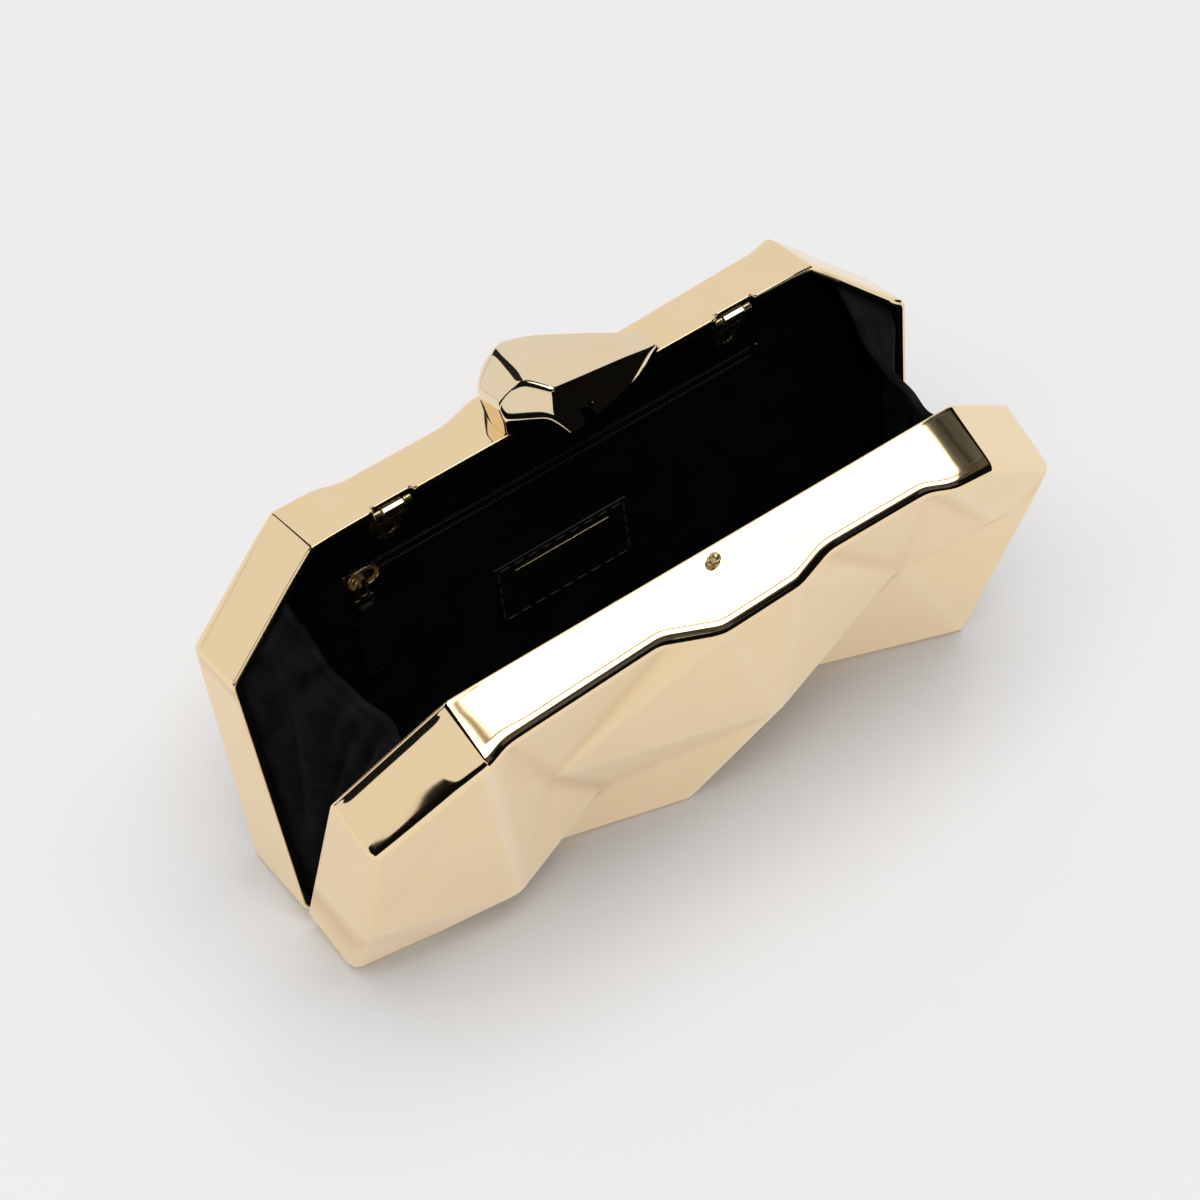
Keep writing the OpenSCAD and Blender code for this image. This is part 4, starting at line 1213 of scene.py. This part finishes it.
PANEL_N = 12
ZIP_V = 96.5
SLOT_L = 146
ROW_GAP = 1.2
ROW_W = 1.6
ROW_H = 0.8
TAPE_T = 0.5
TAPE_W = 10
# The tape's thickness here, a little less than in the CAD so that its waves stay inside
TAPE_MADE_T = 0.42
TAPE_END = 5
TAPE_N = PANEL_N + LINING_T + SEAT
ROW_N = TAPE_N - ROW_H - SEAT
TEETH_X = SLOT_L / 2 - 2
COIL_PITCH = 1.25
COIL_WIRE = 0.2
SLIDER_X = -66
SLIDER_TOP_N = ROW_N - 1.3
BRIDGE_X = -2.2
LINK_N = SLIDER_TOP_N - 0.85
LINK_DROP = 9.85
PULL_T = 1.2
# The slider's front plate: its middle beside the slider's, and its half sizes
PLATE_X, PLATE_HALF_L, PLATE_HALF_W = -0.9, 5.2, 3.05
PLATE_LIFT, PLATE_T, PLATE_RIM_R = 0.28, 0.2, 0.3
POCKET_W, POCKET_T = 150, 0.4


def coil_row(side):
    """One wound row: a flat coil with a cord through it."""
    middle = ZIP_V + side * (ROW_GAP + ROW_W) / 2
    turns = int(2 * TEETH_X / COIL_PITCH)
    coil = []
    for k in range(turns * 12 + 1):
        a = math.tau * k / 12
        n = ROW_N + ROW_H / 2 - (ROW_H / 2 - COIL_WIRE) * math.cos(a)
        v = middle - side * (ROW_W / 2 - COIL_WIRE) * math.sin(a + 0.5)
        coil.append((-TEETH_X + COIL_PITCH * k / 12, n, v))
    cord = [(x, ROW_N + ROW_H / 2, middle) for x in np.linspace(-TEETH_X, TEETH_X, 60)]
    return [coil, cord]


def zip_teeth():
    paths = coil_row(1) + coil_row(-1)
    obj = strands("zip_coils", paths, COIL_WIRE, COIL, 5)
    dress(obj, "back_half", "zip_teeth", "zipper_teeth")


def zip_tape(name, side):
    """One woven tape, sewn flat behind the lining."""
    rows, cols = 10, 120
    half = SLOT_L / 2 + TAPE_END
    points = []
    for r in range(rows + 1):
        for c in range(cols + 1):
            x = -half + 2 * half * c / cols
            v = ZIP_V + side * (ROW_GAP / 2 + TAPE_W * r / rows)
            wave = 0.04 * math.sin(x / 4.3) * math.sin(3 * r / rows)
            points.append((x, TAPE_N + TAPE_T / 2 + 0.02 + wave, v))
    obj = cloth(name, place(points), rows + 1, TAPE, TAPE_MADE_T)
    dress(obj, "back_half", "zip_tape", "zipper_tapes")


def slider_outline(reach, steps=40):
    """The slider's front plate: a long oval that is square at its right end."""
    out = []
    for k in range(steps):
        a = math.tau * k / steps
        c, d = math.cos(a), math.sin(a)
        x = PLATE_X + (PLATE_HALF_L + reach) * math.copysign(abs(c) ** (0.8 if c > 0 else 1.0), c)
        out.append((x, (PLATE_HALF_W + reach) * math.copysign(abs(d) ** 0.85, d)))
    return out


def slider_plate():
    """The slider's dished front plate and its raised bright edge."""
    rings = [(0, 0.0), (-0.5, 0.12), (-1.4, 0.42), (-2.2, 0.5)]
    points = []
    for reach, dip in rings:
        n = SLIDER_TOP_N + dip - PLATE_LIFT
        points += [(SLIDER_X + x, n, ZIP_V + v) for x, v in slider_outline(reach)]
    count = len(points) // len(rings)
    faces = grid_faces(len(rings), count, False, True) + end_caps(len(rings), count)[1:]
    dish = piece("slider_dish", place(points), faces, AMBER)
    tidy_mesh(dish)
    modifier(dish, "SOLIDIFY", thickness=PLATE_T * MM, offset=0)
    dress(dish, "slider", "hardware_gold")
    route = [(SLIDER_X + x, SLIDER_TOP_N - PLATE_RIM_R, ZIP_V + v) for x, v in slider_outline(0)]
    dress(strands("slider_rim", [route], PLATE_RIM_R, BRASS, 8, True), "slider", "hardware_gold")


def leather_pull():
    """The folded leather pull with a row of stitches round its edge."""
    dress(softened("pull_tab", 0.3, PULL), "pull", "pull_leather", "pull_tab")
    x = SLIDER_X + BRIDGE_X
    top = ZIP_V - LINK_DROP
    around = [(-1.1, 2.9), (-3.1, 5.6), (-3.1, 22.8), (-2.2, 24.0), (2.2, 24.0), (3.1, 22.8), (3.1, 5.6),
              (1.1, 2.9), (-1.1, 2.9)]
    paths = []
    for face in (-1, 1):
        n = LINK_N + face * (PULL_T / 2 + 0.02)
        paths += stitch_paths([(x + dx, n, top - down) for dx, down in around], 1.9, 1.4, 0.08, (0, face, 0))
    dress(strands("pull_stitches", paths, 0.13, PULL, 5), "pull", "pull_leather")


def pocket_bag():
    """The pocket's cloth: from the upper tape down the back, round the fold and up to the lower tape."""
    line = [(13.87, 107), (13.87, 103.2), (14.3, 101.6), (15.4, 100), (15.9, 98)]
    line += [(15.95, v) for v in range(94, 58, -4)]
    line += [(15.9, 57.6), (15.6, 56.95), (15.2, 56.85), (14.8, 57.05), (14.66, 57.8)]
    line += [(14.65, v) for v in range(60, 84, 4)]
    line += [(14.5, 85), (14.0, 87.4), (13.87, 88.4), (13.87, 89.8)]
    cols = 90
    points = []
    for k, (n, v) in enumerate(line):
        slack = math.sin(math.pi * k / (len(line) - 1))
        for c in range(cols + 1):
            x = -POCKET_W / 2 + POCKET_W * c / cols
            wave = 0.12 * slack * math.sin(x / 7 + v / 9)
            points.append((x, n + wave, v))
    obj = cloth("pocket_cloth", place(points), len(line), CLOTH, POCKET_T)
    dress(obj, "back_half", "pocket_cloth", "pocket_bag")


def zip_pocket():
    zip_teeth()
    zip_tape("upper_tape", 1)
    zip_tape("lower_tape", -1)
    slider_plate()
    leather_pull()
    pocket_bag()


# The patch

PATCH_X = -2.5
PATCH_W = 47
PATCH_H = 21
PATCH_TOP_V = 72
PATCH_T = 0.8


def patch():
    """The leather patch, stitched round its edge, with its plain bar."""
    dress(softened("label_patch", 0.39, PATCH, 4), "back_half", "patch_leather", "label_patch")
    dress(softened("label_bar", 0.17, BRASS), "back_half", "hardware_gold", "label_bar")
    n = PANEL_N - SEAT - PATCH_T - 0.02
    half, hem = PATCH_W / 2 - 1.3, 1.3
    top, low = PATCH_TOP_V - hem, PATCH_TOP_V - PATCH_H + hem
    route = [(PATCH_X - half, n, top), (PATCH_X + half, n, top), (PATCH_X + half, n, low),
             (PATCH_X - half, n, low), (PATCH_X - half, n, top)]
    paths = stitch_paths(route, 4.9, 3.2, 0.12, (0, -1, 0))
    dress(strands("patch_stitches", paths, 0.19, THREAD, 6), "back_half", "patch_leather")


# Stage

BACKDROP = rgb(0.845, 0.845, 0.85)
BACKDROP_LEVEL = 0.93
FILL_LEVEL = 0.42
# How much of the floor is an open pale sweep where metal mirrors it
SWEEP = 0.58
FLOOR_REACH = 14.0


def pale_floor():
    points = [(x * FLOOR_REACH, y * FLOOR_REACH, 0) for x, y in ((-1, -1), (1, -1), (1, 1), (-1, 1))]

    def paper(nodes):
        tooth = nodes.noise(900, 2.0, 0.5)
        # Metal shows the paper mostly as an open pale sweep; the camera sees it with its shadow
        gloss = nodes.make("LightPath", output="Is Glossy Ray") * SWEEP
        paper_tone = nodes.blend(tooth, rgb(0.84, 0.84, 0.845), rgb(0.855, 0.855, 0.86))
        return {
            "Base Color": nodes.blend(gloss, paper_tone, rgb(0, 0, 0)),
            "Emission Color": nodes.blend(gloss, rgb(0, 0, 0), BACKDROP),
            "Emission Strength": 1.0,
            "Roughness": 0.95,
            "Specular IOR Level": 0.0,
        }
    piece("floor", points, [(0, 1, 2, 3)], finish("pale floor", paper), False)


def pale_world():
    world = bpy.data.worlds.new("studio")
    bpy.context.scene.world = world
    world.use_nodes = True
    tree = world.node_tree
    nodes = Nodes(tree)
    seen = nodes.make("LightPath", output="Is Camera Ray")
    gloss = nodes.make("LightPath", output="Is Glossy Ray")
    through = nodes.make("LightPath", output="Is Transmission Ray")
    shown = seen.largest(gloss).largest(through)
    background = tree.nodes["Background"]
    connect(tree, background.inputs["Color"], BACKDROP)
    connect(tree, background.inputs["Strength"], shown * (BACKDROP_LEVEL - FILL_LEVEL) + FILL_LEVEL)


def softbox(name, direction, distance, size, power, mirrored=True):
    """A square lamp. One that is not mirrored gives light and shade only, and metal doesn't show it."""
    light = bpy.data.lights.new(name, "AREA")
    light.shape = "SQUARE"
    light.size = size
    light.energy = power
    obj = bpy.data.objects.new(name, light)
    away = Vector(direction).normalized()
    obj.location = TARGET + away * distance
    obj.rotation_mode = "QUATERNION"
    obj.rotation_quaternion = away.to_track_quat("Z", "Y")
    obj.visible_glossy = mirrored
    bpy.context.scene.collection.objects.link(obj)


def card(name, radius, azimuths, low, high, shade, mottle=0.0):
    """A curved studio card, seen only in the metal. low and high are its edges' elevations
    at both ends; an azimuth of 0 is in front and 90 to the right."""
    columns, lines = 40, 12
    points = []
    for k in range(lines + 1):
        for j in range(columns + 1):
            across = j / columns
            bottom = low[0] + (low[1] - low[0]) * across
            top = high[0] + (high[1] - high[0]) * across
            el = math.radians(bottom + (top - bottom) * k / lines)
            az = math.radians(azimuths[0] + (azimuths[1] - azimuths[0]) * across)
            points.append((radius * math.sin(az) * math.cos(el), -radius * math.cos(az) * math.cos(el),
                           radius * math.sin(el)))

    def board(nodes):
        weave = nodes.noise(40, 1.0, 0.5)
        tone = nodes.blend(weave, grey(shade), grey(shade * 0.8))
        if mottle:
            tone = nodes.ramp(nodes.noise(2.6, 5.0, 0.7), [(0.42, grey(shade)), (0.7, grey(mottle))])
        return {
            "Base Color": tone,
            "Roughness": 1.0,
            "Specular IOR Level": 0.0,
        }
    faces = grid_faces(lines + 1, columns + 1)
    unseen(piece(name.replace(" ", "_"), points, faces, finish(name, board), False))


# How far up the edging of the overhead box hangs, and its width
LAMP_FRAME_R, LAMP_FRAME_W = 3.7, 0.075


def lamp_frame():
    """The dark edging of the overhead box, which the top wall shows as a thin brown line."""
    route = [(9, -3), (11, -5.5), (14, -8.5), (18, -11.2), (23, -12.4), (34, -13.6), (46, -15.6)]
    ways = [np.array([math.tan(math.radians(a)), math.tan(math.radians(b)), 1]) for a, b in route]
    points = [LAMP_FRAME_R * w / np.linalg.norm(w) + np.array([0, side, 0])
              for side in (0, LAMP_FRAME_W) for w in ways]
    faces = grid_faces(2, len(ways))

    def edging(nodes):
        weave = nodes.noise(30, 1.0, 0.5)
        return {
            "Base Color": nodes.blend(weave, rgb(0.3, 0.17, 0.09), rgb(0.22, 0.12, 0.06)),
            "Roughness": 1.0,
        }
    unseen(piece("lamp_edging", points, faces, finish("lamp edging", edging), False))


def unseen(obj):
    """A stage piece that only metal shows."""
    obj.visible_camera = False
    obj.visible_diffuse = False
    obj.visible_shadow = False
    obj.visible_transmission = False


def studio():
    bpy.context.scene.view_settings.view_transform = "Standard"
    pale_floor()
    pale_world()
    softbox("overhead box", (0.22, -0.02, 0.975), 4.0, 2.6, 44)
    softbox("wide key", (-0.26, -0.13, 0.96), 4.5, 3.2, 106.5, mirrored=False)
    card("ceiling left", 9.0, (-180, 0), (40, 42), (90, 90), 0.02)
    card("ceiling right", 9.0, (0, 180), (46, 50), (90, 90), 0.03, 0.45)
    card("belt left", 9.5, (-90, -20), (0, 0), (19, 17), 0.012)
    card("belt front", 9.4, (-20, 33), (0, 0), (42, 36), 0.012)
    card("belt middle", 9.4, (9, 33), (38, 36), (50, 52), 0.24)
    card("belt right", 9.4, (33, 100), (0, 0), (52, 50), 0.012)
    card("side flag", 9.3, (-133, -105), (1, 1), (46, 46), 0.03)
    card("back flag", 9.3, (171, 189), (0, 0), (40, 40), 0.05)
    lamp_frame()


# All pieces

camera()
shell("back")
shell("front")
knob()
linings()
fittings()
gusset("left")
gusset("right")
zip_pocket()
patch()
studio()
